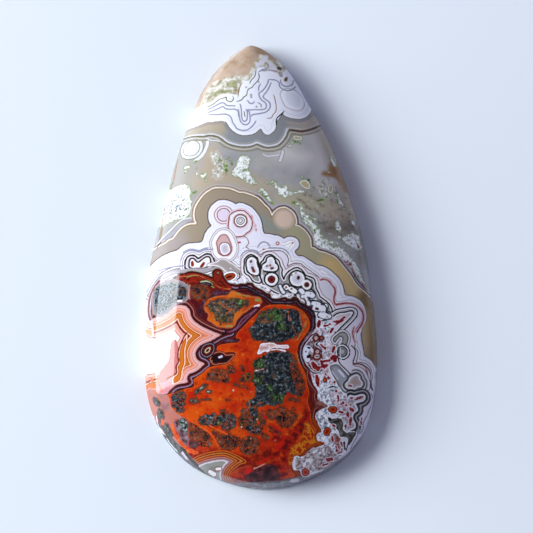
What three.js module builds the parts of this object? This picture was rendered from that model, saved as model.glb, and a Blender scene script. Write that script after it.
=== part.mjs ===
// A crazy lace agate cabochon: one pear-shaped stone, flat on its back, polished to a dome.
// Millimetres, +Z up. The back lies on Z 0, +Y runs to the point of the pear, and the origin is
// in the middle of the back. The lace, bands and colours of the agate are in the stone, flush
// with its polish, so the solid carries none of them.
import * as THREE from "three";
import { ParametricGeometry } from "three/addons/geometries/ParametricGeometry.js";

// The girdle, the stone's widest outline, counter-clockwise from the point. It was cut by eye:
// the left flank is fuller than the right, and the left foot is cut away more.
const girdlePoints = [
  [-0.2, 27.16], // the point
  [-3.2, 25.5],
  [-6.15, 21.75],
  [-8.0, 17.4],
  [-9.6, 13.0],
  [-11.05, 7.45],
  [-12.3, 3.15],
  [-13.3, -1.7],
  [-13.95, -9.6], // widest on the left
  [-13.35, -16.8],
  [-11.5, -21.0],
  [-7.8, -24.7],
  [-0.3, -27.16], // the foot
  [6.85, -25.6],
  [11.15, -22.2],
  [13.35, -17.4],
  [13.95, -11.5], // widest on the right
  [13.6, -3.9],
  [12.65, 3.25],
  [10.95, 9.5],
  [9.3, 14.55],
  [7.1, 19.05],
  [3.85, 24.6],
];

const thickness = 6.3; // back to the top of the dome
const girdleHeight = 0.4; // where the chamfer of the back meets the wall
const backChamfer = 0.4; // how far the chamfer draws the back in
const shoulderHeight = 2.6; // where the wall turns over into the dome
const wallLean = 0.5; // how far the wall draws in from the girdle to the shoulder
const leftWallLean = 1.05; // the same on the left flank, which is ground flatter
const shoulderSlope = THREE.MathUtils.degToRad(72); // the dome's slope at the shoulder

// The dome's summit stands over the widest part of the pear, below the middle of the stone.
const middle = new THREE.Vector2(0, -2);
const summitY = -6.5;
const domeHalfWidth = 13.4;
const domeHalfLength = 26.5;
const domeSkew = 0.22; // the dome falls more slowly towards the point than towards the foot

const stepsRound = 108; // facets round the girdle
const domeRings = 20;
const wallRings = 3;
const backRings = 3;

const girdle = new THREE.CatmullRomCurve3(
  girdlePoints.map(([x, y]) => new THREE.Vector3(x, y, 0)),
  true,
  "centripetal",
);

// The girdle's point at a share of the way round, moved inwards by a distance.
function insetGirdle(around, inset) {
  const on = girdle.getPointAt(around % 1);
  const along = girdle.getTangentAt(around % 1);
  return new THREE.Vector2(on.x - along.y * inset, on.y + along.x * inset);
}

// How far the wall leans in here: more where the girdle faces left.
function leanAt(around) {
  const facingLeft = Math.max(0, -girdle.getTangentAt(around % 1).y);
  return THREE.MathUtils.lerp(wallLean, leftWallLean, facingLeft ** 2);
}

// The dome's height over a point that lies at a share of the way from the middle to the shoulder.
// Near the summit its contours are ovals, and towards the shoulder they take the pear's outline.
function domeHeight(x, y, share) {
  const across = x / domeHalfWidth;
  const up = y - summitY;
  const along = up / (domeHalfLength + domeSkew * up);
  const oval = across ** 2 + along ** 2;
  const level = Math.sqrt(oval * (1 - share ** 3) + share ** 5);
  const slope = Math.asin(Math.min(1, level) * Math.sin(shoulderSlope));
  const fallen = (Math.cos(slope) - Math.cos(shoulderSlope)) / (1 - Math.cos(shoulderSlope));
  return THREE.MathUtils.lerp(shoulderHeight, thickness, fallen);
}

// The rings of the stone, from the summit down over the wall and in across the flat back.
const rings = [];
for (let i = 0; i <= domeRings; i++) {
  // Closer together towards the shoulder, where the dome curves most.
  const share = Math.sin((i / domeRings) * (Math.PI / 2));
  rings.push((around, spot) => {
    const edge = insetGirdle(around, leanAt(around));
    const x = THREE.MathUtils.lerp(middle.x, edge.x, share);
    const y = THREE.MathUtils.lerp(middle.y, edge.y, share);
    spot.set(x, y, domeHeight(x, y, share));
  });
}
for (let i = 1; i <= wallRings; i++) {
  const down = i / wallRings;
  rings.push((around, spot) => {
    const edge = insetGirdle(around, leanAt(around) * (1 - down));
    spot.set(edge.x, edge.y, THREE.MathUtils.lerp(shoulderHeight, girdleHeight, down));
  });
}
for (let i = 0; i <= backRings; i++) {
  const share = 1 - i / backRings;
  rings.push((around, spot) => {
    const edge = insetGirdle(around, backChamfer);
    spot.set(
      THREE.MathUtils.lerp(middle.x, edge.x, share),
      THREE.MathUtils.lerp(middle.y, edge.y, share),
      0,
    );
  });
}

function makeCabochon() {
  const down = rings.length - 1;
  const surface = (along, around, spot) => rings[Math.round(along * down)](around, spot);
  const geometry = new ParametricGeometry(surface, down, stepsRound);
  // The origin is in the middle of the back's bounding box.
  geometry.computeBoundingBox();
  const centre = geometry.boundingBox.getCenter(new THREE.Vector3());
  geometry.translate(-centre.x, -centre.y, 0);
  const polishedAgate = new THREE.MeshStandardMaterial({
    color: 0xa08678, // the average of white lace, honey grey chalcedony and red jasper
    roughness: 0.08,
    metalness: 0,
  });
  const cabochon = new THREE.Mesh(geometry, polishedAgate);
  cabochon.name = "agate_cabochon";
  return cabochon;
}

const stone = new THREE.Group();
stone.add(makeCabochon());

export default stone;
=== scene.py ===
# A crazy lace agate cabochon, lying on a pale floor under soft window light.
# The scene is in metres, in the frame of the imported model. The stone is drawn in millimetres.
import bpy
import bmesh
import math
import numpy as np
from mathutils import Matrix, Vector


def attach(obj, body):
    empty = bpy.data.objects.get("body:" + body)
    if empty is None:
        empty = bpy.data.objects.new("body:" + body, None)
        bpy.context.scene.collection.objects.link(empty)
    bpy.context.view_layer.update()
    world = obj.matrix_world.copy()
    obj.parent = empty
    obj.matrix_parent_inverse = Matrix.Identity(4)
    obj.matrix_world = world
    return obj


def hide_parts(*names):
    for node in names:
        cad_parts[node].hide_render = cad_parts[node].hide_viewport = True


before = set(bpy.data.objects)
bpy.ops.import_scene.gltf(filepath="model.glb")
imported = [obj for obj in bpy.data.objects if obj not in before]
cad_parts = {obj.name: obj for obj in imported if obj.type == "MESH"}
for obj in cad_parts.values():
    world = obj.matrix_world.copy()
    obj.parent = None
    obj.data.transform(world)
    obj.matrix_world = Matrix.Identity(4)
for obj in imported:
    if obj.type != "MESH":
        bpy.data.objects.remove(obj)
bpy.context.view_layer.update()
print("frame loaded")


def toLinear(hexColour):
    # sRGB hex to the linear values that the shader takes
    shares = [int(hexColour[i:i + 2], 16) / 255 for i in (0, 2, 4)]
    return [s / 12.92 if s <= 0.04045 else ((s + 0.055) / 1.055) ** 2.4 for s in shares] + [1.0]


def fillRamp(ramp, stops):
    # a stop is its position, its colour and, where it doesn't cover, how far it does
    ramp.elements.remove(ramp.elements[1])
    for index, (position, shade, *cover) in enumerate(stops):
        element = ramp.elements[0] if index == 0 else ramp.elements.new(position)
        element.position = position
        element.color = toLinear(shade)[:3] + (cover or [1])


def addNode(tree, kind, settings, sockets):
    node = tree.nodes.new(kind)
    for name, value in settings.items():
        if name == "stops":
            fillRamp(node.color_ramp, value)
        else:
            setattr(node, name, value)
    for socket, value in sockets.items():
        if isinstance(value, bpy.types.NodeSocket):
            tree.links.new(value, node.inputs[socket])
        else:
            node.inputs[socket].default_value = value
    return node


millimetre = 0.001  # in metres

# The stone's shape, in millimetres
stone = {
    # the widest outline, x, y, x, y ..., counter-clockwise from the point
    "girdle": [-0.2, 27.16, -3.2, 25.5, -6.15, 21.75, -8.0, 17.4, -9.6, 13.0, -11.05, 7.45, -12.3, 3.15,
               -13.3, -1.7, -13.95, -9.6, -13.35, -16.8, -11.5, -21.0, -7.8, -24.7, -0.3, -27.16,
               6.85, -25.6, 11.15, -22.2, 13.35, -17.4, 13.95, -11.5, 13.6, -3.9, 12.65, 3.25,
               10.95, 9.5, 9.3, 14.55, 7.1, 19.05, 3.85, 24.6],
    "girdleSteps": 24,  # steps of the girdle's curve between two of its points
    "thickness": 6.3,  # back to the top of the dome
    "girdleHeight": 0.4,  # where the chamfer of the back meets the wall
    "backChamfer": 0.4,  # how far the chamfer draws the back in
    "shoulderHeight": 2.6,  # where the wall turns over into the dome
    "wallLean": 0.5,  # how far the wall draws in from the girdle to the shoulder
    "leftWallLean": 1.05,  # the same on the left flank, which is ground flatter
    "shoulderSlope": math.radians(72),  # the dome's slope at the shoulder
    "middle": (0.0, -2.0),
    "summitY": -6.5,
    "domeHalfWidth": 13.4,
    "domeHalfLength": 26.5,
    "domeSkew": 0.22,  # the dome falls more slowly towards the point than towards the foot
    "gridSpan": (13.4, 27.0),  # half the width and length that the grids are drawn out to
    "domeGrid": (184, 356),
    "backGrid": (92, 178),
    "backGridShare": 0.985,  # of the way out to the back's rim, where its grid ends
    "wallRings": 9,
}


def smoothCurve(flat, closed, perSpan):
    # centripetal Catmull-Rom curve through the points x, y, x, y ...
    knots = np.array(flat, float).reshape(-1, 2)
    count = len(knots)
    if closed:
        ahead = [np.roll(knots, -k, 0) for k in (-1, 0, 1, 2)]
    else:
        padded = np.vstack([2 * knots[0] - knots[1], knots, 2 * knots[-1] - knots[-2]])
        ahead = [padded[k:k + count - 1] for k in range(4)]
    before, start, end, after = ahead
    gaps = [np.maximum(np.linalg.norm(b - a, axis=1) ** 0.5, 1e-6)[:, None]
            for a, b in ((before, start), (start, end), (end, after))]
    leave = ((start - before) / gaps[0] - (end - before) / (gaps[0] + gaps[1])
             + (end - start) / gaps[1]) * gaps[1]
    arrive = ((end - start) / gaps[1] - (after - start) / (gaps[1] + gaps[2])
              + (after - end) / gaps[2]) * gaps[1]
    rows = []
    for t in np.arange(perSpan) / perSpan:
        square = -3 * start + 3 * end - 2 * leave - arrive
        cube = 2 * start - 2 * end + leave + arrive
        rows.append(start + leave * t + square * t * t + cube * t ** 3)
    curve = np.stack(rows, 1).reshape(-1, 2)
    return curve if closed else np.vstack([curve, knots[-1]])


girdle = smoothCurve(stone["girdle"], True, stone["girdleSteps"])
tangent = np.roll(girdle, -1, 0) - np.roll(girdle, 1, 0)
tangent /= np.linalg.norm(tangent, axis=1)[:, None]
inward = np.stack([-tangent[:, 1], tangent[:, 0]], 1)
facingLeft = np.clip(-tangent[:, 1], 0, 1) ** 2
lean = stone["wallLean"] + (stone["leftWallLean"] - stone["wallLean"]) * facingLeft
middle = np.array(stone["middle"])
shift = (girdle.max(0) + girdle.min(0)) / 2  # the model's origin is in the middle of its box


shoulderCurve = girdle + inward * lean[:, None]


def byDirection(curve):
    # a ring's curve, sorted by the shoulder's direction from the middle, with a turn more at each end
    offset = shoulderCurve - middle
    angle = np.arctan2(offset[:, 1], offset[:, 0])
    order = np.argsort(angle)
    angles = np.concatenate([angle[order] + turn for turn in (-2 * math.pi, 0, 2 * math.pi)])
    return angles, np.tile(curve[order], (3, 1))


def pointAt(ring, angle):
    angles, points = ring
    return np.stack([np.interp(angle, angles, points[:, k]) for k in (0, 1)], -1)


shoulder = byDirection(shoulderCurve)
wallFoot = byDirection(girdle)
backRing = byDirection(girdle + inward * stone["backChamfer"])


def domeHeight(x, y, share):
    # ovals near the summit, and towards the shoulder the pear's outline
    up = y - stone["summitY"]
    along = up / (stone["domeHalfLength"] + stone["domeSkew"] * up)
    oval = (x / stone["domeHalfWidth"]) ** 2 + along ** 2
    level = np.sqrt(oval * (1 - share ** 3) + share ** 5)
    slope = np.arcsin(np.minimum(1, level) * math.sin(stone["shoulderSlope"]))
    low = math.cos(stone["shoulderSlope"])
    fallen = (np.cos(slope) - low) / (1 - low)
    return stone["shoulderHeight"] + (stone["thickness"] - stone["shoulderHeight"]) * fallen


def addGrid(bm, cells):
    # an evenly spaced square grid drawn out to a disc: each vertex's share of the way out and direction
    made = bmesh.ops.create_grid(bm, x_segments=cells[0], y_segments=cells[1], size=1.0)
    x, y = np.array([vert.co[:2] for vert in made["verts"]]).T
    across = x * np.sqrt(1 - y * y / 2)
    up = y * np.sqrt(1 - x * x / 2)
    share = np.minimum(1, np.hypot(across, up))
    halfWidth, halfLength = stone["gridSpan"]
    return made["verts"], share, np.arctan2(up * halfLength, across * halfWidth)


def moveVerts(verts, places, height):
    for vert, place in zip(verts, np.column_stack([places, np.broadcast_to(height, len(places))])):
        vert.co = place


def makeStoneMesh():
    bm = bmesh.new()
    # the dome is one grid, about as fine as the lines of the lace
    verts, share, angle = addGrid(bm, stone["domeGrid"])
    spot = middle + (pointAt(shoulder, angle) - middle) * share[:, None]
    moveVerts(verts, spot, domeHeight(spot[:, 0], spot[:, 1], share))
    # the wall is drawn down from the dome's rim, ring by ring
    rim = [edge for edge in bm.edges if edge.is_boundary]
    direction = bm.verts.layers.float.new("direction")
    for vert in bm.verts:
        vert[direction] = math.atan2(vert.co.y - middle[1], vert.co.x - middle[0])
    rings = stone["wallRings"]
    for ring in range(1, rings + 2):
        grown = bmesh.ops.extrude_edge_only(bm, edges=rim)["geom"]
        rimVerts = [part for part in grown if isinstance(part, bmesh.types.BMVert)]
        rim = [part for part in grown if isinstance(part, bmesh.types.BMEdge)]
        angles = np.array([vert[direction] for vert in rimVerts])
        if ring <= rings:
            down = ring / rings
            top = pointAt(shoulder, angles)
            place = top + (pointAt(wallFoot, angles) - top) * down
            height = stone["shoulderHeight"] + (stone["girdleHeight"] - stone["shoulderHeight"]) * down
        else:
            # the last ring is the edge of the back, drawn in by the chamfer
            place = pointAt(backRing, angles)
            height = 0.0
        moveVerts(rimVerts, place, height)
    # the flat back is a coarser grid of its own, joined to the rim
    verts, share, angle = addGrid(bm, stone["backGrid"])
    spot = middle + (pointAt(backRing, angle) - middle) * share[:, None] * stone["backGridShare"]
    moveVerts(verts, spot, 0.0)
    bmesh.ops.bridge_loops(bm, edges=[edge for edge in bm.edges if edge.is_boundary])
    bmesh.ops.recalc_face_normals(bm, faces=bm.faces[:])
    bmesh.ops.translate(bm, verts=bm.verts[:], vec=(-shift[0], -shift[1], 0))
    bmesh.ops.scale(bm, verts=bm.verts[:], vec=[millimetre] * 3)
    for face in bm.faces:
        face.smooth = True
    mesh = bpy.data.meshes.new("agate")
    bm.to_mesh(mesh)
    bm.free()
    return mesh


stoneMesh = makeStoneMesh()
print("stone", len(stoneMesh.polygons), "faces")


# The lace: what grew in the agate, in millimetres seen from above, its points as x, y, x, y ...
# A layer is made of areas (closed outlines) and strokes (half width, points), or takes the depth of
# another layer. Its bands say which colour starts at which depth, positive inside and negative
# outside. Its mottle is a texture and the colours that it gives the body, each with how far it
# covers; a sparse layer lets the rest show through. Within keeps it inside another layer or areas.
# Each call to grow paints its layer over those before it.
layers = []
lines = []


def grow(name, **layer):
    layers.append({"name": name, **layer})


def draw(name, **line):
    # thin lines of one colour, each through its points; half is half their width in mm
    lines.append({"name": name, **line})


tipBottom = [-10, 16.5, -8, 16.6, -7.2, 16.6, -6.5, 16.7, -5.8, 16.85, -5, 16.8, -4, 16.8, -3.6, 16.6,
    -3.1, 15.75, -2.7, 15.3, -2.2, 14.95, -1.5, 14.75, -0.3, 14.9, 0.4, 15.4, 0.62, 15.55, 0.8, 15.1,
    1.35, 14.75, 2.15, 15.2, 2.4, 15.6, 2.45, 16.2, 2.6, 16.55, 2.95, 17, 3.15, 17.35, 3.25, 17.55,
    3.5, 17.25, 3.9, 17.05, 5.35, 16.9, 5.95, 17.15, 6.35, 17.4, 6.85, 18.2, 6.95, 18.7, 7.6, 20, 8, 26,
    3, 30, -3, 30, -9, 26]
tipRim = [-10, 15.7, -8.2, 15.6, -7.5, 15.5, -6, 15.2, -5.5, 15.25, -4.4, 14.9, -3.3, 14, -2, 13.55,
    -1.2, 13.5, -0.5, 13.6, 0.05, 13.85, 0.5, 13.65, 1, 13.45, 1.6, 13.4, 2.2, 13.5, 2.7, 13.75, 3.4, 14.6,
    3.6, 15.1, 3.75, 15.5, 4.2, 15.65, 5.6, 15.6, 6.7, 15.95, 7.2, 16.25, 7.6, 16.6, 9.4, 17.6, 12, 20,
    10, 30, -10, 30, -13, 20]
haloRim = [-16, 1.2, -13.4, 1.3, -12.4, 1.75, -11.6, 2.05, -11.1, 2.15, -10.7, 2.4, -10.15, 2.55,
    -9.75, 3.05, -9.05, 3.75, -8.6, 3.98, -8.15, 4.08, -7.4, 4.1, -7.55, 4.65, -7.55, 5.72, -7.15, 6.65,
    -6.15, 7.8, -5.7, 8.05, -5.25, 8.25, -4.8, 8.3, -3.25, 8.1, -2.2, 7.62, -1.6, 7.55, 0, 6.85, 0.65, 6.15,
    1.3, 5.38, 1.48, 5, 1.58, 4.65, 1.7, 4.87, 2.33, 5.5, 3.22, 5.65, 4.02, 5.12, 4.3, 4.67, 4.43, 4.2,
    4.42, 3.77, 4.32, 3.48, 4.8, 3.35, 5.5, 2.77, 5.98, 2, 6.07, 1.55, 6.12, 0.85, 6.5, 0.68, 6.95, 0.38,
    7.9, 0.15, 8.33, -0.03, 8.78, -0.22, 9.2, -0.55, 10.2, -1.75, 10.7, -2.35, 11.4, -3.45, 11.9, -3.9,
    12.5, -4.3, 14, -5.6, 16, -7, 17, -30, -17, -30]
laceRim = [-16, -0.8, -13.6, -0.5, -12.2, 0.35, -11.4, 0.7, -10.45, 0.95, -9.6, 1.15, -9.3, 1.4, -9, 1.6,
    -8.55, 1.75, -7, 1.8, -6.75, 1.9, -6.4, 2.87, -5.9, 3.5, -5.67, 3.72, -5.85, 4.05, -5.97, 4.5,
    -5.93, 5.5, -5.5, 6.25, -4.6, 6.83, -3.5, 6.72, -3.05, 6.5, -2.65, 6.27, -2.25, 6.42, -1.13, 6.05,
    -0.33, 5.33, 0.27, 4.25, 0.55, 2.72, 0.65, 2.55, 1.2, 2.5, 1.78, 2.35, 2.37, 2.25, 2.73, 2.05,
    2.93, 1.9, 3.22, 2.08, 3.58, 2.17, 4.38, 1.98, 4.67, 1.63, 4.75, 1.18, 4.63, 0.8, 4.45, 0.55,
    4.22, 0.35, 4.25, 0.13, 4.53, -0.17, 5.1, -0.25, 6.2, -0.9, 6.75, -1.25, 7.5, -1.4, 8.2, -1.75,
    8.9, -2.3, 9.4, -2.85, 9.75, -3.5, 9.95, -4.3, 10.05, -4.75, 10.9, -4.85, 11.7, -5.2, 12.3, -5.9,
    12.55, -6.8, 12.5, -7.7, 11.85, -9.1, 12.05, -11.2, 12.15, -11.9, 12.6, -12.2, 13.1, -12.6, 13.5, -13.2,
    16, -14, 17, -30, -17, -30]
coreTop = [-9.9, -2.2, -9.52, -1.93, -9.07, -1.98, -8.47, -1.82, -7.93, -1.8, -6.2, -2.38, -5.67, -2.65,
    -5.48, -2.42, -5.55, -2.1, -5.38, -1.8, -5.12, -1.68, -4.78, -1.75, -4.52, -2, -4.45, -2.4, -3.85, -3.4,
    -3.3, -3.6, -2.85, -3.7, -2.3, -3.6, -1.8, -3.65, -1.35, -3.5, -1, -3.6, -0.75, -3.95, 0.1, -4.4,
    0.65, -4.8, 1, -4.9, 1.1, -5.3, 1.6, -5.5, 2.25, -5.45, 2.85, -5.3, 3.1, -5.5, 3.6, -5.5, 3.8, -5.3,
    4.1, -5.3, 4.4, -5.6, 4.6, -5.9, 5.5, -6.3, 5.9, -6.5, 6.1, -7, 6.4, -7.5, 6.5, -8]
coreRight = [6.5, -8.4, 6.2, -9, 5.9, -9.6, 5.45, -10.3, 4.95, -10.9, 4.72, -11.8, 4.85, -12.6, 5.2, -13.3,
    5.6, -13.8, 5.5, -14.4, 5.75, -15.2, 6.15, -15.8, 6.5, -16.3, 6.3, -16.8, 6.4, -17.3, 7, -17.6,
    7.5, -17.9, 7.3, -18.2, 6.8, -18.3, 6.3, -18.5, 6.1, -19.3, 6.3, -19.9, 6.6, -20.4, 6.65, -20.9,
    6.2, -21.3, 6.3, -21.8, 6.8, -22, 7.1, -22.2, 6.6, -22.5, 5.15, -23, 4.95, -23.5, 4.4, -23.8,
    3.6, -23.8, 3.4, -24.3, 3.4, -25.2, 4, -25.35, 4.3, -26, 3.5, -26.3, -2.4, -26.5, -4.2, -26.4,
    -4.7, -26.1, -4.6, -25.6, -4, -25, -3.4, -24.6, -4.6, -24, -6, -23.8, -7.3, -24, -8, -24.3, -8.8, -23.6,
    -9.3, -22.9, -9.9, -22.4, -11, -21.2, -12, -20.2, -12.6, -19, -12.9, -17.5, -13.1, -16.2, -12.4, -16]
coreNotch = [-11.3, -16.2, -10.8, -15.65, -10.25, -15.25, -9.65, -15.1, -8.9, -15, -8.5, -14.8,
    -8.7, -14.45, -8.55, -14.05, -8, -13.85, -7.4, -13.55, -6.95, -13.15, -6.5, -12.85, -6.7, -12.6,
    -7.45, -12.15, -7.65, -11.55, -7.35, -10.95, -6.75, -10.55, -6, -10.3, -4.4, -9.5, -3.6, -9.3,
    -4.3, -9.35, -5.5, -8.95, -7.6, -7.7, -8.1, -7, -8.2, -6.4, -8.6, -5.8, -9.2, -5.5, -10, -5.45,
    -10.6, -5.7, -11.3, -6.2, -12.1, -6.5, -12.8, -6.6, -12.95, -5.6, -12.8, -4.4, -12.4, -3.2,
    -11.6, -2.75, -10.6, -2.6]

# grey chalcedony, paler and warmer on the left and browner towards the right edge
grow("warmLeft", strokes=[(2.4, [-10, 16, -9, 11, -9.6, 6])], soft=1.2, bands=[(0, "9C9892")])
grow("tanLeft", strokes=[(1.1, [-5.7, 13.2, -5.6, 11, -6.6, 9, -4, 9.6, -1, 8.8, 0.5, 8.2])], soft=0.8,
    bands=[(0, "AC9F8C")])
grow("paleRight", strokes=[(1.1, [3.4, 12.8, 4.8, 12.1, 6.6, 12.2]), (2.9, [8.6, 18, 9.4, 13, 9.8, 10])],
    soft=2.6, bands=[(0, "C8C4C4")])
grow("oliveRight", strokes=[(1.2, [3, 6.8, 5, 6.6, 7, 6, 9, 6.1])], soft=0.8, bands=[(0, "ACA48E")])
grow("warmRight", strokes=[(0.9, [8.4, 15.5, 9, 13.6, 9.6, 12]), (1.5, [11.2, 8, 11.4, 6, 9.6, 4.6])],
    soft=0.9, bands=[(0, "AEA08E")])
grow("darkRight", strokes=[(0.9, [8.2, 3.2, 10.6, 3.4, 12.2, 2.8, 12.8, 0])], soft=0.8,
    bands=[(0, "7C7468")])
grow("grit", areas=[[4, 7.6, 7, 8.6, 9, 11.5, 12, 8, 13.8, 0, 11, 0, 8, 2.6, 5, 5.6]], ragged=0.4, soft=0.5,
    sparse=True, bands=[(0, "8A857A")], mottle=("fine", [(0.34, "4E4A40", 0.6), (0.48, "8A857A", 0),
    (0.54, "8A857A", 0), (0.68, "CFCEC8", 0.55)]))
grow("rust", areas=[[9.3, 11.6, 9.9, 11.3, 10.2, 10.2, 10.6, 9.3, 11, 8.3, 10.6, 8.3, 10.1, 9.2, 9.5, 9.85,
    8.7, 9.95, 8, 10, 8.1, 10.2, 8.8, 10.25, 8.8, 10.9]], ragged=0.12, soft=0.3, bands=[(-0.15, "9A6C38"),
    (0.3, "86561F")])
# the orb on the left of the throat
grow("paleOrb", strokes=[(1.35, [-7.75, 13.75])], bands=[(-0.14, "7C7E70"), (-0.02, "CDCFD0"),
    (0.3, "6E7064"), (0.4, "D6D6DA"), (0.62, "AEA29A"), (0.7, "DCDCE0")])
grow("orbSkirt", strokes=[(0.19, [-5.9, 14.9, -5.8, 14.2, -6.05, 13.3, -6.6, 12.5, -7.4, 11.95]),
    (0.17, [3.15, 12.7, 3, 12.1, 2.75, 11.5])], bands=[(-0.07, "84827A"), (0, "D4D4DC")])
# bands under the tip, then the grey one above them
grow("tipRim", areas=[tipRim], bands=[(-0.82, "8A8672"), (-0.62, "A5A3A0"), (-0.52, "BEBAB4"),
    (-0.4, "8E8A7C"), (-0.28, "6A6350"), (-0.12, "D0D2DA"), (0.1, "9A9A9A"), (0.35, "888C91")])
grow("tipBandWarm", strokes=[(1, [-9, 16, -7, 16.3, -5.5, 16.3, -4.4, 15.9])], soft=0.6, within="tipRim",
    bands=[(0, "A89D8A")])
grow("tipBandBrown", strokes=[(0.8, [4.6, 16.8, 6, 16.6, 7.6, 17.4])], soft=0.5, within="tipRim",
    bands=[(0, "ACA096")])
grow("tipRimRight", strokes=[(0.3, [4.1, 15.45, 5.6, 15.35, 6.8, 15.75, 8, 16.5])], bands=[(0, "B6A79F"),
    (0.14, "7C7064"), (0.2, "443629")])
grow("tip", areas=[tipBottom], bands=[(-0.42, "8A8A8C"), (-0.04, "46464A"), (0.04, "ECEEF6"),
    (0.42, "DADCEA"), (0.55, "EAECF8")])
grow("tipShadeWarm", depthOf="tip", within={"areas": [[-10.5, 15, -4.6, 15, -3.6, 17.7, -10.5, 17.8]]},
    bands=[(-0.42, "9A9086"), (-0.03, "ECEEF6")])
grow("tipCream", areas=[[-8, 19, -6.4, 19.25, -5.6, 19.3, -5, 19.5, -4.6, 19.9, -4.1, 20.2, -3.4, 20.3,
    -2.4, 20.1, -2, 20.1, -1.6, 21.4, -1.4, 21.9, -1, 21.8, -0.6, 21.9, -0.2, 22.4, 0.1, 23, 0.5, 23.5,
    1.1, 23.6, 1.8, 23.5, 2.7, 23.5, 3.3, 23, 3.9, 23.4, 3.4, 25, 1, 28, -8, 28]], ragged=0.12, soft=0.08,
    mottle=("fine", [(0.36, "8E886E"), (0.48, "B4AE9A"), (0.6, "DAD8D2")]), bands=[(0, "C2BCAA")])
grow("tipCap", areas=[[-8, 19, -6.75, 19.3, -6.2, 20.1, -5.8, 21.1, -5, 22, -4, 22.3, -2.8, 22.6,
    -1.8, 22.5, -0.6, 22.6, -0.4, 23.2, 0, 23.6, 0.1, 24.2, 0.5, 24.8, 0.9, 25.3, 1.6, 25.1, 2.6, 24.6,
    3, 26, 0, 29, -8, 28]], ragged=0.2, soft=0.12, mottle=("coarse", [(0.36, "9C8266"), (0.5, "B39A84"),
    (0.64, "BCA898")]), bands=[(0, "BFA690")])
grow("tipFrost", strokes=[(0.3, [0.5, 23.9, 1.2, 24.4, 1.5, 24.9]), (0.25, [2, 23.9, 2.6, 23.7])],
    ragged=0.3, soft=0.12, bands=[(0, "D8D6E2")])
grow("tipOlive", areas=[[-3.3, 21.4, -3.1, 21.9, -2.6, 22, -2.1, 21.7, -2.1, 21.1, -2.3, 20.9]],
    strokes=[(0.2, [-4.9, 20.35, -4.2, 20.6, -3.6, 20.6, -2.9, 20.6])], ragged=0.16, soft=0.06,
    mottle=("fine", [(0.4, "7E8058"), (0.6, "AAAC88")]), bands=[(0, "94966E")])
grow("tipGrey", strokes=[(0.14, [1.1, 23.15, 1.9, 23.25, 2.8, 23.1]), (0.25, [3.2, 22.95, 3.3, 22.6]),
    (0.12, [0.55, 21.6]), (0.13, [-0.45, 20, -0.4, 19.6])], ragged=0.1, soft=0.06, bands=[(0, "A79E9C")])
grow("tipDark", strokes=[(0.2, [3.05, 23.65, 3.25, 23.5]), (0.16, [3.93, 22.3, 3.85, 22]),
    (0.07, [3.1, 22.9]), (0.1, [-1, 20.95]), (0.07, [0.2, 18.4])], ragged=0.12, soft=0.05,
    bands=[(-0.04, "8A745A"), (0.05, "40382C")])
grow("tipLobe", areas=[[3.1, 20.1, 3.25, 19.4, 3.45, 18.85, 3.8, 18.4, 5, 18, 5.6, 18.2, 6, 18.8, 5.9, 19.8,
    5.2, 20.6, 4.4, 20.9, 3.5, 20.7]], soft=0.05, bands=[(-0.07, "C0B8C2"), (0.06, "F2F4FF"),
    (0.5, "E8EAF6")])
# moss and crumbs in the grey chalcedony
grow("mist", strokes=[(0.6, [-5, 12.4, -4.6, 11.6, -4.1, 11.2, -4.5, 10.6, -4.7, 10]), (0.5, [7.6, 8.3,
    8, 7.4])], ragged=0.5, soft=0.2, mottle=("grain", [(0.38, "8E8C7C"), (0.48, "B0AEA2"), (0.56, "CCCEC6"),
    (0.64, "E6E8E4")]), bands=[(0, "C4B9AC")])
grow("mossLeaves", strokes=[(0.17, [-3.75, 11.1, -3.65, 10.6, -3.7, 10.05]), (0.16, [-3.2, 11.6,
    -3.05, 11.1]), (0.12, [-4.5, 11.75, -4.2, 11.7]), (0.12, [-7.5, 11.85, -7.1, 11.9]),
    (0.1, [-8.2, 6.35]), (0.12, [-8.6, 5.5, -8.2, 5.55]), (0.18, [-7.6, 7.95, -7.3, 8]),
    (0.1, [-6.1, 9.15]), (0.15, [0.6, 7.3]), (0.2, [0.9, 7.1, 1.6, 6.3]), (0.14, [9.3, 7.75]),
    (0.2, [9.55, 6.7]), (0.2, [5.1, 5.6, 5.2, 4.9]), (0.12, [6.3, 8.9, 6.2, 9.2]), (0.12, [7.2, 6.7,
    7.8, 6.8]), (0.16, [3.9, 6.5, 4.4, 6.25]), (0.15, [4.4, 13.9, 5.2, 13.85])], ragged=0.35, soft=0.06,
    mottle=("grain", [(0.4, "3E5422"), (0.52, "6C8C3C"), (0.64, "A0B878")]), bands=[(0, "6C8646")])
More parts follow.
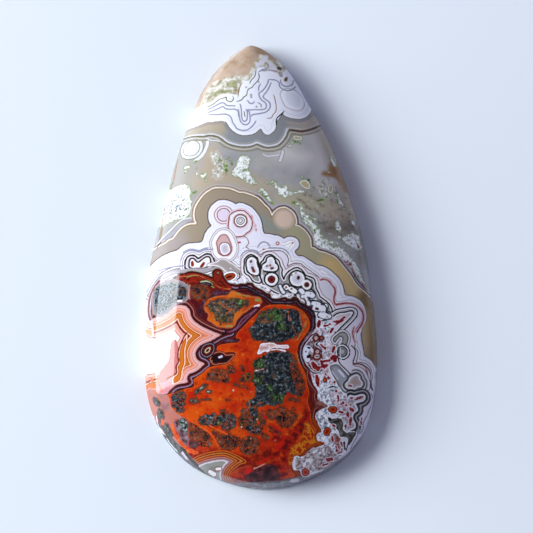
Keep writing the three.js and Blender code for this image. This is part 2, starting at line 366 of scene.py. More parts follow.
grow("moss", areas=[[-1.88, 12.2, -1.42, 12.2, -0.87, 11.9, -0.69, 11.55, -0.96, 11.25, -0.96, 10.95,
    -1.15, 10.6, -1.7, 10.4, -1.75, 10.25, -0.96, 10.3, -0.78, 9.9, -0.87, 9.6, -0.41, 9.35, -0.32, 8.95,
    -0.5, 8.55, -0.78, 8.75, -1.33, 9.1, -1.88, 9.25, -2.34, 9.6, -2.8, 9.7, -2.98, 10.2, -2.43, 11.15,
    -2.34, 11.7, -2.06, 12], [1.46, 8.7, 1.66, 9, 2, 9, 2.24, 8.7, 2.3, 8.15, 2.55, 8.35, 2.83, 8.15,
    3.2, 8.45, 3.56, 8.15, 3.5, 7.85, 4, 7.75, 4.2, 7.45, 3.9, 7.15, 3.6, 7.2, 3.2, 6.8, 3, 7.05, 2.7, 7.15,
    2.35, 7.45, 2.35, 7.85, 2.15, 8.05, 1.95, 8.7, 1.75, 8.78, 1.6, 8.6], [9.9, 2.2, 10.4, 2.4, 11.3, 2.9,
    11.9, 2.6, 12.2, 2, 12.3, 1.2, 11.7, 0.8, 10.7, 1.3, 10.2, 1.6], [4.9, 6.1, 5.5, 5, 5.9, 4.8, 6.1, 4.3,
    6.8, 4.4, 6.4, 4, 6.9, 3.6, 7.1, 2.8, 7.5, 2.1, 8, 1.9, 8.3, 1.5, 8.6, 1, 9.4, 1.05, 10, 0.8, 10.4, 0.4,
    10.6, 0, 11.3, -0.6, 11.8, -1.3, 12.6, -3.2, 12.9, -3.6, 12.2, -3.2, 10.8, -1.5, 10.1, -0.8, 9.6, -0.4,
    9, 0.1, 7.2, 0.9, 6.5, 1.3, 6.4, 2.6, 6.1, 3.3, 5.6, 3.7, 5.1, 4.3], [-9, 9.2, -8.2, 9, -7.9, 8.2,
    -8, 7.4, -7.9, 6.5, -8.1, 5.6, -8.6, 4.9, -10, 4.9, -11.8, 4.4, -12.8, 5.5, -11.8, 8.6]],
    strokes=[(0.14, [1.2, 8.7]), (0.2, [-0.2, 8.75]), (0.14, [-3.3, 12.05]), (0.16, [-3.75, 11.6]),
    (0.2, [-8.5, 11.4, -8.2, 11.3]), (0.15, [-8.45, 10.9]), (0.1, [-7.2, 11]), (0.09, [-7.2, 10.3]),
    (0.13, [-6.7, 10, -6.35, 9.85, -6.15, 10.2]), (0.12, [-6.15, 9.4]), (0.18, [0.2, 7.75, 0.55, 7.95,
    0.95, 7.35]), (0.1, [1.2, 6.9, 1.5, 6.5]), (0.2, [5.35, 9.5]), (0.12, [4.3, 7.5, 5.4, 7.65]),
    (0.12, [3.9, 13.3, 4.3, 13.8]), (0.2, [9, 12.3, 9.5, 11.4]), (0.16, [8.6, 10.4]), (0.14, [9.65, 7.7,
    9.7, 7.2]), (0.22, [9.95, 6.8, 10.1, 6.4]), (0.14, [10.4, 5.9]), (0.3, [9.4, 3.9, 9.6, 3.2]),
    (0.2, [9.5, 2.2]), (0.25, [11.4, 4.3]), (0.1, [7.9, 7, 8.5, 7.3])], ragged=0.22, soft=0.05,
    mottle=("fine", [(0.3, "98A690"), (0.4, "D0D6D2"), (0.5, "ECF0F0"), (0.6, "FAFCFD"), (0.7, "DEDED2")]),
    bands=[(-0.07, "7A8258"), (0.02, "BCC4B4"), (0.08, "E6EAEC")])
grow("mossShade", strokes=[(0.35, [-9.4, 6.8, -9.5, 6.3]), (0.16, [-8.95, 7.5]), (0.2, [-10.3, 7.4,
    -10.5, 6]), (0.2, [-9.9, 5.6])], ragged=0.3, soft=0.15, bands=[(0, "8F96A8")])
grow("mossLeft", areas=[[-9, 9.2, -8.2, 9, -7.9, 8.2, -8, 7.4, -7.9, 6.5, -8.1, 5.6, -8.6, 4.9, -10, 4.9,
    -11.8, 4.4, -12.8, 5.5, -11.8, 8.6]], ragged=0.3, soft=0.08, sparse=True,
    mottle=("grain", [(0.35, "3A4A3E", 0.8), (0.41, "66768A", 0.5), (0.47, "8E9AA8", 0),
    (0.62, "7A9A6A", 0), (0.7, "5E7E3E", 0.8)]), bands=[(0, "9AA2A8")])
grow("ridgeMarks", strokes=[(0.09, [-10.1, 9.9, -10.45, 9.4, -10.35, 9]), (0.12, [-11.5, 4.2, -11.65, 3.4,
    -11.8, 2.8]), (0.07, [-10.9, 6.9, -11.4, 4.9, -11.5, 4.2])], soft=0.05, bands=[(0, "7E7444")])
grow("ridgePeach", strokes=[(0.12, [-11.8, 1.9, -12.05, 1.4, -12.2, 0.5]), (0.09, [-9.7, 12, -9.9, 11,
    -10.1, 10.2])], soft=0.06, bands=[(0, "A4744E")])
grow("mossSprays", strokes=[(0.22, [5.1, 5.7, 5.4, 4.8, 6.1, 3.9, 6.9, 2.9, 7.6, 1.9]), (0.1, [5.9, 4,
    6.8, 4.4]), (0.1, [6.6, 3.2, 7.2, 3.6]), (0.1, [4.7, 6.2, 5.2, 5.9]), (0.12, [8.4, 1.5, 9.2, 1.5])],
    ragged=0.6, soft=0.05, mottle=("grain", [(0.36, "5C7048"), (0.46, "BAC6B4"), (0.56, "F2F6F6")]),
    bands=[(-0.03, "7E8E68"), (0.05, "C9D2CA")])
grow("mossCrumb", depthOf="moss", ragged=0.5, sparse=True, mottle=("grain", [(0.36, "4A5634", 0.85),
    (0.44, "8A947A", 0.1), (0.54, "F2F5F5", 0.2), (0.6, "FAFCFC", 0.9)]), bands=[(-0.05, "9AA58A")])
grow("mossRed", strokes=[(0.16, [10.1, -0.85, 10.5, -0.7]), (0.12, [10.7, -1.1, 10.9, -1]),
    (0.1, [10.45, -1.1]), (0.1, [10.9, -1.5, 11.2, -1.8]), (0.1, [11.3, -2.1, 11.4, -2.4]),
    (0.07, [11.7, -2.4]), (0.09, [11.85, 1.6, 11.95, 1.2]), (0.08, [12.1, -3.1, 12.4, -3.5])], ragged=0.25,
    soft=0.04, mottle=("fine", [(0.42, "6E2A2A"), (0.58, "A87474")]), bands=[(-0.07, "C0A0A4"),
    (0.02, "6E2A2A")])
grow("creamOval", areas=[[5, 8.8, 5.35, 9.1, 5.75, 9.15, 6.15, 8.8, 6.3, 8.3, 6.05, 8, 5.55, 8.15],
    [8.5, 8.5, 8.85, 8.85, 9.15, 8.5, 9.1, 8, 8.85, 7.65, 8.5, 7.8]], strokes=[(0.22, [-1.42, 11.35]),
    (0.26, [4.75, 14.5, 5.3, 14.4])], ragged=0.08, bands=[(-0.05, "6E7444"), (0, "DCDDD2"),
    (0.14, "B4AA84")])
grow("smoke", strokes=[(0.1, [-8.9, 7.2]), (0.12, [-9.2, 6.1]), (0.12, [-9.35, 5.3]), (0.05, [9.45, 8.6,
    9.55, 7.7]), (0.09, [11.75, 1.65]), (0.1, [9.55, 3.4]), (0.12, [3.95, 15.25, 4.15, 15.45])], soft=0.05,
    bands=[(0, "5A5F58")])
# the tan halo round the lace, then the lace itself
grow("halo", areas=[haloRim], bands=[(-0.52, "AFACBC"), (-0.34, "6E5646"), (-0.12, "E8E2D8"),
    (0.03, "8A6C46"), (0.15, "978A78")])
grow("haloRimLeft", depthOf="halo", within={"areas": [[-15, 2, -14, 9.5, -1, 9.5, 0.6, 8.2, -0.5, 7.2,
    -4, 7, -6, 6.2, -7, 4, -10, 1]]}, bands=[(-0.5, "A09C90"), (-0.42, "C0BDBC"), (-0.34, "8E5E50"),
    (-0.26, "A09482"), (-0.12, "E8E2D8"), (0.03, "8A6C46"), (0.15, "978A78")])
grow("haloLeft", strokes=[(0.9, [-14, 1.2, -11, 1.5, -9.4, 2.2])], soft=0.6, within="halo",
    bands=[(0, "9A908C")])
grow("haloGreen", strokes=[(0.6, [0.6, 4.2, 1.2, 3.3, 2.4, 3.1])], soft=0.5, within="halo",
    bands=[(0, "888E86")])
# the greenish tan on the right: its own hue, painted paler as painted light against the dimmer light on the
# right flank
grow("haloRight", strokes=[(1.6, [4.6, 2.6, 6, 0.6, 8, -1])], soft=1, within="halo", bands=[(0, "A29B80")])
grow("haloPeach", strokes=[(1.15, [3, 4.3])], soft=0.3, within="halo", bands=[(0, "D0B9A8")])
# the amber and the deep brown by the right edge: their own hues, painted paler as painted light against the
# dimmer light on the right flank
grow("haloAmber", strokes=[(1.4, [8.6, -1.4, 10.2, -2.2, 11.5, -4.2, 13.2, -6, 13.4, -10])], soft=0.9,
    within="halo", bands=[(0, "CCB07A")])
grow("haloDeep", strokes=[(1.1, [12.6, -5.1, 13.6, -6.2, 13.8, -9, 13.7, -12])], soft=0.5, within="halo",
    bands=[(0, "7E6230")])
grow("lace", areas=[laceRim], bands=[(-0.07, "4A3A28"), (0.05, "D9D9EE"), (0.17, "F0F0F8"), (0.3, "CDCADB"),
    (0.36, "E7E6F4")])

# orbs and lobes in the upper lace
grow("pinkOrb", strokes=[(0.78, [-4.12, 4.95])], bands=[(-0.42, "E0C0CC"), (-0.35, "8A5A62"),
    (-0.27, "E8DDE8"), (-0.06, "733E44"), (0.06, "F2EEF6"), (0.13, "D8B4C4"), (0.18, "DCD0E2")])
grow("bullseyeRim", areas=[[-3.53, 4.1, -3.35, 4.9, -2.55, 5.35, -2.02, 5.4, -1.6, 5.25, -1, 4.58,
    -0.8, 4.05, -0.95, 3.05, -1.57, 2.55, -1.87, 2.3, -2.85, 2.25, -3.15, 2.55, -3.43, 2.92, -3.6, 3.45]],
    bands=[(-0.28, "D8B4B8"), (-0.2, "F0E4EC"), (-0.11, "84363A"), (0.05, "F0EEF6"), (0.13, "D8A8AC"),
    (0.18, "F0F0F8"), (0.32, "E2DCEA")])
grow("bullseyeBlush", strokes=[(0.1, [-0.85, 4.7, -0.55, 3.8, -0.3, 2.9])], ragged=0.2, soft=0.1,
    bands=[(0, "C48080")])
grow("bullseye", strokes=[(0.75, [-2.15, 4.15])], bands=[(-0.16, "CFA4A4"), (-0.06, "5E2A28"),
    (0.08, "F4F4FA"), (0.24, "6E6664"), (0.37, "F2F0F4"), (0.46, "8A8482"), (0.58, "EAE8EE")])
# the lace on the right: its two grey bands are its own, and its ground is painted whiter than the lace
# elsewhere, as painted light against the dimmer light on the right flank
grow("laceRight", depthOf="lace", within={"areas": [[3.2, 3, 3.2, -0.5, 8, -4, 8, -6, 8.4, -10, 8.8, -13.5,
    14.5, -14.2, 14.5, 0, 9, 3]]}, bands=[(0.5, "B4B0BE"), (0.56, "FAFBFF"), (0.8, "A08C94"),
    (0.86, "FDFEFF")])
grow("waveLine", areas=[[-5, -0.5, -4.4, -0.25, -3.95, -0.3, -3.45, -0.75, -3, -1.1, -2.7, -1.45,
    -2.3, -1.55, -2.07, -1.35, -2.05, -0.75, -1.85, -0.15, -1.55, 0.2, -1.1, 0.3, -0.6, 0.25, 0.05, -0.05,
    0.45, 0.22, 0.95, 0.38, 1.6, 0.4, 2.2, 0.42, 2.7, 0.32, 3.15, -0.05, 3.38, -0.55, 3.35, -1, 3.25, -1.5,
    3.65, -1.25, 4.2, -1.1, 4.85, -1.15, 5.1, -1.4, 6.9, -2.75, 7.1, -3.1, 7.5, -3.05, 8, -3.15, 8.7, -3.9,
    8.75, -4.5, 8.6, -4.9, 8.65, -5.5, 8.8, -5.9, 9.9, -5.8, 10.7, -5.65, 11.35, -5.85, 11.85, -6.3,
    12.1, -6.9, 12, -7.7, 11.05, -9.2, 10.95, -10, 11.1, -10.6, 11, -11, 11.35, -11.5, 11.3, -12.2,
    11.15, -12.75, 11.8, -12.75, 12.5, -13, 12.95, -13.6, 13.05, -14.6, 12.95, -15.5, 13.15, -16, 13.3, -17,
    12.9, -18.5, 12.6, -19.5, 12.2, -21, 10, -24, 0, -26, -9, -24, -6, -6, -4.4, -1.6]], within="lace",
    bands=[(-0.72, "C9C6DA"), (-0.66, "E9E8F4"), (-0.32, "A8A3AE"), (-0.24, "EFEEF6"), (-0.05, "5A3034"),
    (0.06, "E3DDEC")])
grow("waveRed", strokes=[(0.06, [11, -8.6, 10.8, -9.2, 10.85, -9.85, 11.1, -10.5]), (0.06, [10.8, -13.05,
    11.5, -12.98, 12.2, -13.35, 12.43, -14.05, 12.16, -14.8]), (0.09, [9, -6, 10.2, -5.8, 11.2, -5.9,
    11.9, -6.4, 12.2, -7.1, 12.1, -7.9, 11.3, -9.2]), (0.08, [7.1, -3.1, 7.6, -3, 8.1, -3.2, 8.5, -3.7,
    8.8, -4.1, 8.8, -4.8, 8.65, -5.2, 8.7, -5.8, 8.9, -6.05])], soft=0.04, bands=[(-0.12, "E2C0C8"),
    (-0.02, "8C3038")])
grow("laceShade", areas=[[7.2, -3.3, 8, -3.4, 8.5, -4, 8.45, -4.8, 8.45, -5.5, 7.9, -5.8, 7.2, -5.3,
    6.7, -4.4, 6.8, -3.6]], soft=0.15, bands=[(0, "D6D3E0")])
grow("leftBand", strokes=[(0.3, [-5, -1.3, -5.8, -1.5, -6.6, -1.72, -7.5, -1.62, -8.4, -1.6, -9.6, -1.5,
    -10.6, -1.65, -11.6, -2.05, -12.4, -2.8, -13.2, -3.9])], bands=[(-0.34, "4E444C"), (-0.22, "F0EEF4"),
    (-0.06, "746E76"), (0.06, "A29CA2")])
grow("archOuter", areas=[[-8.8, -1.2, -8.65, -0.1, -8.42, 0.13, -8.05, 0.25, -7.73, 0.18, -7.47, 0,
    -7.28, -0.22, -6.75, 0.08, -6.37, 0.25, -5.98, 0.25, -5.7, 0.1, -5.5, -0.15, -5.42, -0.47, -5.2, -0.95,
    -5.6, -1.4, -7, -1.6, -8.3, -1.5]], bands=[(-0.62, "8F8890"), (-0.54, "E3E0EC"), (-0.36, "8A7678"),
    (-0.27, "EEECF4"), (-0.13, "2A201E"), (0.1, "DCD8E2"), (0.22, "C9C2CE")], within={"areas": [[-9.7, -1.2,
    -9.7, 1.4, -4.6, 1.4, -4.7, -1.05, -6.2, -1.4, -7.3, -1.2, -8.4, -1.35]]})
grow("archInner", areas=[[-8.3, -1.2, -8.2, -0.2, -7.93, -0.1, -7.68, -0.25, -7.48, -0.5, -7.25, -0.65,
    -6.6, -0.2, -6.2, -0.05, -5.9, -0.15, -5.85, -1, -6.6, -1.4, -7.6, -1.4]], within="archOuterMask",
    bands=[(-0.1, "3E2826"), (0.1, "F2F2F6"), (0.2, "E6E4EC")])
grow("archSeeds", strokes=[(0.18, [-7.95, -0.6, -7.93, -0.98]), (0.17, [-6.9, -1.2, -6.6, -0.82]),
    (0.15, [-3.75, -2.75, -3.5, -2.65]), (0.1, [-2.5, 1.5, -2.3, 1.5])], bands=[(0, "82281C")])
# the grey wave over the core, on the left of the fingers
grow("pinkOvalRim", areas=[[-4.95, 1, -5.05, 1.6, -4.5, 2.45, -4.1, 2.55, -3.75, 2.3, -3.25, 0.9, -3.4, 0.3,
    -3.7, 0, -4.2, -0.05, -4.6, 0.1, -4.9, 0.5]], bands=[(-0.85, "8E8480"), (-0.77, "E4E0EC"),
    (-0.62, "A08E8A"), (-0.54, "F0EDF4"), (-0.1, "C9A4A6"), (-0.03, "8E5854"), (0.07, "CDAAAA")])
grow("pinkOval", strokes=[(0.62, [-4.1, 0.95, -4.06, 0.65])], bands=[(-0.07, "7A3A38"), (0.04, "F4F4FA"),
    (0.18, "CFCBE0"), (0.4, "C4BCC0")])
grow("wave", areas=[[-4.95, -0.75, -4.6, -0.5, -4.1, -0.55, -3.6, -0.9, -3.1, -1.25, -2.7, -1.6, -2.2, -1.9,
    -1.2, -2.4, -0.8, -3.2, 0, -3.5, 0.5, -3.2, 0.6, -3.6, 0.3, -3.8, -0.4, -3.6, -0.9, -3.3, -1.4, -2.8,
    -2.6, -2.4, -3.4, -1.95, -3.9, -1.95, -4.6, -1.35, -5.3, -1.1, -6.1, -1.05, -5.6, -0.95]],
    bands=[(-0.2, "8C7C7C"), (-0.13, "EAE6EC"), (-0.03, "C4BDBF"), (0.03, "AAA09E"), (0.16, "9F9694")])
# the fingers of ringed orbs above the core
grow("fingerDark", areas=[[-1.9, -1.75, -1.85, -1, -1.78, -0.55, -1.07, 0, -0.37, -0.37, -0.2, -0.75,
    -0.15, -1.28, -0.07, -1.8, -0.1, -2.5, 0.1, -3.3, -0.2, -3.5, -0.9, -3.2, -1.3, -2.6, -1.75, -2.3],
    [0.02, -1.65, 0.1, -1, 0.4, -0.7, 0.55, -0.38, 0.85, -0.12, 1.2, -0.05, 1.57, -0.2, 1.87, -0.5,
    2.15, -0.72, 2.32, -1.07, 2.4, -1.45, 2.6, -1.8, 2.55, -2.25, 2.6, -2.7, 2.77, -3.08, 2.88, -2.7,
    3.05, -2.4, 3.4, -2.07, 4.3, -1.65, 4.75, -1.8, 5.1, -2.17, 5.4, -2.6, 5.9, -2.75, 6.3, -2.95,
    6.5, -3.5, 6.55, -4.1, 6.8, -4.6, 7, -5.1, 8, -5.9, 8.4, -6.9, 7.6, -7.1, 6.6, -6.4, 5.4, -5.6, 4, -5,
    2.4, -4.9, 1, -4.2, 0.2, -3.4, 0.1, -2.4]], bands=[(-0.42, "7C5F66"), (-0.34, "EADDE6"),
    (-0.2, "F4F2F8"), (-0.1, "23211F"), (0.09, "EFEFF6"), (0.2, "8F8D90"), (0.45, "A3A0A4"),
    (0.9, "9B989C")])
grow("fingerRing", areas=[[-1.4, -1.85, -1.5, -1, -1.4, -0.65, -1.07, -0.38, -0.78, -0.42, -0.5, -0.68,
    -0.46, -1.05, -0.35, -1.5, -0.22, -1.9, -0.3, -2.4, -0.7, -2.4, -1.1, -2.2], [0.85, -1, 0.9, -0.7,
    1, -0.5, 1.3, -0.4, 1.55, -0.55, 1.68, -0.85, 1.7, -1.15, 2, -1.45, 1.95, -1.85, 1.5, -2, 0.9, -1.95,
    0.5, -1.9, 0.33, -1.6, 0.4, -1.3]], strokes=[(0.68, [1.3, -3.05]), (0.82, [4.35, -3]),
    (0.52, [5.45, -3.7]), (0.42, [5.85, -4.85]), (0.24, [6.6, -6.35]), (0.22, [3.55, -4.2, 4, -4.5]),
    (0.25, [3, -4])], bands=[(-0.25, "1E1C1B"), (-0.1, "4A4848"), (-0.05, "F6F6FA"), (0.14, "DDDDE8"),
    (0.35, "CFCCDC")])
grow("fingerSeeds", strokes=[(0.14, [-1.05, -0.85]), (0.14, [-0.92, -1.6, -0.72, -2.05]),
    (0.13, [-0.8, -2.6]), (0.12, [0.8, -1.45]), (0.1, [1.2, -1.35]), (0.12, [1.3, -1.75, 1.5, -1.7]),
    (0.12, [3, -4]), (0.12, [3.62, -4.2]), (0.3, [5.45, -3.7]), (0.12, [1.1, -4.5]), (0.14, [1.5, -5.05]),
    (0.12, [4.55, -2.9]), (0.08, [3.7, -2.55]), (0.08, [4.2, -2.3]), (0.12, [6.65, -6.45]),
    (0.13, [7.6, -7.5]), (0.07, [7.2, -7.95, 7.5, -7.95]), (0.1, [5.2, -5.6])], bands=[(-0.04, "8A5A50"),
    (0.04, "4A1C16")])
grow("redBall", strokes=[(0.42, [1.3, -3.05])], bands=[(-0.04, "2E0A08"), (0.07, "84180E"),
    (0.24, "2A0A08"), (0.34, "A87060")])
grow("redOrb", areas=[[-4.35, -2.8, -4.1, -2.4, -3.6, -2.2, -3.15, -2.25, -2.95, -2.45, -3.2, -2.8,
    -3.7, -3, -4.1, -3]], bands=[(-0.3, "4A4644"), (-0.24, "F4F4F8"), (-0.06, "5A1408"), (0.05, "A83A18"),
    (0.24, "3A1008")])
grow("whiteFinger", strokes=[(0.1, [0.25, -1.9, 0.2, -3.2]), (0.17, [2.35, -3.95, 2.8, -4.6]),
    (0.22, [4.9, -4.6]), (0.1, [-3.6, -1.75, -3.4, -1.55]), (0.2, [1.35, -5.2, 2.2, -5.05, 3, -5.1,
    3.7, -5]), (0.3, [-3.6, -3.35, -2.9, -3.4]), (0.2, [-2, -2.7, -1.7, -3.3, -1, -3.6]), (0.25, [-0.4, -4,
    0.4, -4, 0.9, -4.3]), (0.12, [6.9, -7.6, 8.4, -7.7]), (0.2, [4.4, -5.1, 5.2, -5.2, 6, -5.8,
    6.1, -6.4])], ragged=0.2, mottle=("fine", [(0.36, "6A4A54"), (0.44, "B8B4C4"), (0.52, "F0F0F8")]),
    bands=[(-0.03, "9A8E92"), (0.02, "F0F0F8")])
# small spots and threads in the lace
grow("redSpots", strokes=[(0.11, [-2.5, 1.5, -2.25, 1.5]), (0.1, [0.42, 0.6, 0.54, 0.6]),
    (0.07, [-2.6, -0.15, -2.5, -0.35]), (0.12, [3.95, 1.35]), (0.07, [-1.9, 0.8])], soft=0.03,
    bands=[(0, "B4442C")])
grow("brownRing", strokes=[(0.22, [2.15, 1.3])], bands=[(-0.02, "96463C"), (0.09, "F4EEF0")])

# the pink and orange chevrons between the two halves of the core
grow("chevrons", depthOf="core", reach=3.8, within={"areas": [[-4, -9.25, -5, -8.8, -6.6, -8, -7.8, -6.9,
    -8.4, -5.6, -10, -5.2, -12.4, -6.4, -15, -6.4, -15, -16.6, -11.2, -16.4, -8.2, -15, -8.2, -14,
    -6.3, -13, -7.4, -12, -7.2, -11, -5, -9.7]]}, bands=[(-3.7, "F0E8EC"), (-2.95, "B4A8A8"),
    (-2.88, "F4EEF0"), (-2.66, "96604A"), (-2.58, "E2A89E"), (-2.3, "C88474"), (-2.22, "DA968A"),
    (-2.02, "6E160C"), (-1.84, "A84A20"), (-1.76, "F0CCBC"), (-1.66, "B05A1A"), (-1.56, "C06C24"),
    (-1.28, "A8480C")])
grow("chevronsNear", depthOf="core", within="chevronsMask", reach=3.8, bands=[(-1.15, "EEBC9E"),
    (-1.06, "8E3418"), (-1, "D47E60"), (-0.8, "DC9888"), (-0.6, "A8665C"), (-0.54, "DFAAA8"),
    (-0.36, "B88684"), (-0.3, "D8A8AA"), (-0.2, "8A4A44")])
grow("chevronsRose", areas=[[-12.5, -14.6, -11.2, -14.4, -10.5, -14.2, -10.5, -15.3, -11.4, -15.9,
    -12.2, -15.7]], soft=0.15, bands=[(0, "C48086")])
grow("wallPale", areas=[[-14.6, -6.2, -13.2, -6.5, -12.85, -7.3, -12.85, -9.5, -14.6, -9.5]], soft=0.1,
    bands=[(0, "EEE2E6")])
grow("wallPeach", areas=[[-13.9, -8.05, -13.4, -8, -12.95, -8.1, -12.9, -8.95, -13.3, -8.85, -13.8, -8.45]],
    soft=0.1, bands=[(0, "EE9C78")])
grow("salmonPatch", areas=[[-12, -13.5, -11.45, -12.75, -11, -12.25, -10.8, -11.6, -10.7, -10.7,
    -10.5, -9.9, -10.15, -9.75, -9.9, -10.4, -9.85, -11.2, -9.95, -11.8, -9.85, -12.3, -10.1, -12.8,
    -10.1, -13.7, -10.6, -14, -11.2, -14.25, -12, -14.45]], bands=[(-0.06, "A0684C"), (0.02, "C0706C")])
grow("amberPatch", areas=[[-8.75, -9.15, -9.5, -10.3, -9.75, -11.1, -9.82, -12, -9.75, -12.4, -10, -12.9,
    -10, -13.7, -10.5, -14.1, -10.5, -14.9, -9.6, -14.5, -9.35, -13.4, -9.05, -12.6, -9, -11, -8.8, -10.2]],
    bands=[(0, "EEC8B4"), (0.1, "A8480C"), (0.2, "C46A18")])
grow("maroonLine", strokes=[(0.09, [-8.75, -8.98, -9.1, -9.45, -9.72, -10.8, -9.87, -11.7, -9.78, -12.3,
    -10.08, -12.8, -10.08, -13.6, -10.6, -13.9, -11.2, -14.2])], bands=[(0, "741A0E")])
grow("coreEdgeTan", depthOf="core", reach=3.8, within={"areas": [[-9, -1.2, -5, -0.9, -3.6, -2.9, 0, -3.5,
    3, -4.6, 6, -5.6, 6.9, -7.6, 6.9, -9, 4, -9, 4, -6.5, 0, -5.5, -4, -4.5, -9, -3]]},
    bands=[(-0.2, "8E7C66")])
grow("core", areas=[coreTop + coreRight + coreNotch], reach=3.8, bands=[(-0.12, "1E0C0C"), (0.05, "5A1014"),
    (0.2, "85748C"), (0.34, "1E080C"), (0.5, "6A160E"), (0.66, "2E0A10"), (0.85, "5C120E")])
grow("coreRimWarm", depthOf="core", reach=3.8, within={"areas": [[-10.4, -4.6, -8.2, -4.8, -6.8, -6.2,
    -5, -8, -4.6, -9.1, -6.4, -9, -8, -8, -8.6, -6.5, -10.4, -6.2]]}, bands=[(0.18, "A26A60"),
    (0.28, "4C0E10"), (0.44, "7C3028"), (0.5, "4A0C10")])
grow("coreRimFoot", depthOf="core", ragged=0.1, reach=3.8, within={"areas": [[5.2, -19.3, 5.9, -18.9,
    6.4, -18.9, 7.6, -20, 7.8, -22.6, 5.6, -23.4, 4.4, -24.3, 3, -24.2, 5, -24.8, 5, -26.6, 0, -27,
    0, -26.2, 2.4, -25.8, 2.4, -23, 4, -22.8, 5.4, -21.6]]}, bands=[(-0.06, "5A1206"), (0.05, "94380A")])
grow("coreRimRight", depthOf="core", reach=3.8, within={"areas": [[4.6, -13.3, 6.2, -13, 7.8, -17.2,
    7.8, -18.6, 6.6, -19.4, 5.4, -19.2, 5.2, -17, 5, -15]]}, bands=[(-0.16, "5E1A14"), (0.02, "3A0A08"),
    (0.16, "6E1C14"), (0.3, "9A6462"), (0.38, "30090A"), (0.5, "7A2210"), (0.62, "4A0C08"),
    (0.8, "6A1408")])
grow("coreTopRed", areas=[[-9.9, -2.35, -9.5, -2.05, -8.5, -1.95, -7.9, -1.95, -6.2, -2.5, -5.6, -2.8,
    -5.35, -2, -5.1, -1.8, -4.8, -1.9, -4.6, -2.2, -4.4, -2.9, -4, -3.5, -3.4, -3.8, -3.6, -4.1, -4.3, -4.2,
    -5, -3.9, -5.7, -3.4, -7, -3.1, -8.4, -3, -9.6, -2.9]], ragged=0.15, mottle=("fine", [(0.38, "4A120A"),
    (0.48, "8A2008"), (0.58, "5A0E0A"), (0.68, "2A100C")]), bands=[(-0.03, "7A140C"), (0.05, "A42A10")])
grow("coreTopLine", strokes=[(0.05, [-9.4, -2.25, -7.8, -2.2, -7, -2.4, -6.2, -2.8, -5.6, -3.1, -5, -3.7,
    -4.3, -4, -3.5, -4.05])], ragged=0.08, soft=0.04, bands=[(0, "B8703C")])
grow("knob", areas=[[-5.55, -2.7, -5.5, -2.1, -5.35, -1.8, -5.1, -1.66, -4.75, -1.75, -4.5, -2, -4.5, -2.6,
    -4.9, -3.15, -5.3, -3.1]], soft=0.04, bands=[(-0.05, "4A0E0A"), (0.06, "7A1E0F")])
grow("knobEye", strokes=[(0.2, [-4.98, -2.05])], bands=[(-0.05, "2A0A08"), (0.05, "A87060"),
    (0.11, "180808")])
grow("greenLens", strokes=[(0.2, [-6.9, -3.1, -6.3, -3.1, -5.8, -3.4])], bands=[(-0.06, "34160E"),
    (0.02, "9AA27E"), (0.12, "B8BCA4")])
grow("coreBody", areas=[[-2.9, -9.3, -2.2, -8.6, -1.4, -7.8, -0.7, -7.2, -0.1, -6.6, 0.5, -6.2, 1.5, -6.05,
    3.7, -6.2, 4.7, -6.7, 5.4, -7.4, 5.7, -8.3, 5.55, -9.1, 4.45, -10.6, 4.15, -11.3, 4.2, -12.4,
    5.05, -14.4, 5.2, -15.4, 5.4, -16.5, 5.2, -17.4, 5.5, -18.5, 5.7, -20, 6.2, -20.6, 5.9, -21.5,
    6.2, -22.2, 5, -22.6, 4.4, -23.5, 3.3, -23.7, 3.1, -25.2, 3.7, -25.9, 0, -26.3, -2.4, -26.3, -4.4, -26,
    -3.4, -25, -1.5, -24.4, -3.2, -24.2, -4.6, -23.5, -6, -23.2, -7.5, -23.5, -8.3, -24, -9.1, -22.9,
    -11.6, -20.5, -12.6, -19, -12.9, -17, -12.2, -16.2, -10.5, -15.9, -9, -15.5, -8.1, -15.3, -8.15, -14.6,
    -7.7, -14.2, -7, -13.8, -6.5, -13.3, -5.6, -13.05, -4.4, -12.95, -3.9, -12.4, -3.2, -11.9, -3.3, -11.6,
    -5, -11.55, -5.4, -11.1, -5.2, -10.75, -4.6, -10.55, -3.7, -10.45, -2.8, -10.4, -2.6, -10.1,
    -3.1, -9.9]], mottle=("coarse", [(0.36, "A81C00"), (0.5, "BE3402"), (0.64, "C44A06")]),
    bands=[(-0.06, "5A0E0A"), (0.04, "CC5A14"), (0.3, "B62C02")])
grow("coreUpperBody", areas=[[-6.7, -5.6, -6.1, -5.2, -5.4, -4.95, -4.7, -4.85, -4, -4.8, -3.6, -4.45,
    -3.3, -4.3, -2.3, -4.75, -1.5, -4.95, -0.8, -5.15, -0.2, -5.2, 0.02, -5.6, -0.2, -6, -1, -6.2,
    -1.8, -6.8, -2.3, -7.1, -2.8, -7.6, -3.05, -8.1, -3.2, -8.55, -4.3, -8.6, -5.2, -8.4, -5.7, -8,
    -6.3, -7.6, -6.1, -7.1, -6.5, -6.5]], ragged=0.1, mottle=("coarse", [(0.4, "A83A10"), (0.6, "C8661C")]),
    bands=[(-0.12, "8A4A38"), (-0.02, "C8641C"), (0.35, "A8481A")])
grow("coreGreens", strokes=[(0.16, [-0.6, -5.45, -0.25, -5.5]), (0.09, [-4.2, -8.5, -3.5, -8.45]),
    (0.07, [-3.3, -4.35, -2.8, -4.65, -2.2, -4.85, -1.4, -5]), (0.07, [3, -6.15, 3.5, -6.3]),
    (0.07, [-8.55, -3.1, -8.5, -3.4]), (0.06, [-8.6, -2.35, -8, -2.2, -7.2, -2.3]), (0.07, [-6.6, -3.6,
    -6, -3.5, -5.5, -3.8]), (0.08, [4.5, -6.9, 5, -7.5, 5.2, -8.2, 4.9, -8.9, 4.1, -10.3]),
    (0.07, [4, -11.8, 4.3, -13])], ragged=0.08, soft=0.04, bands=[(0, "868A50")])
grow("corePale", strokes=[(0.12, [-0.75, -6.25, -0.25, -6.1]), (0.04, [-6.8, -5.9, -6.6, -5.6])],
    bands=[(-0.08, "A03018"), (0, "E8E2E6")])
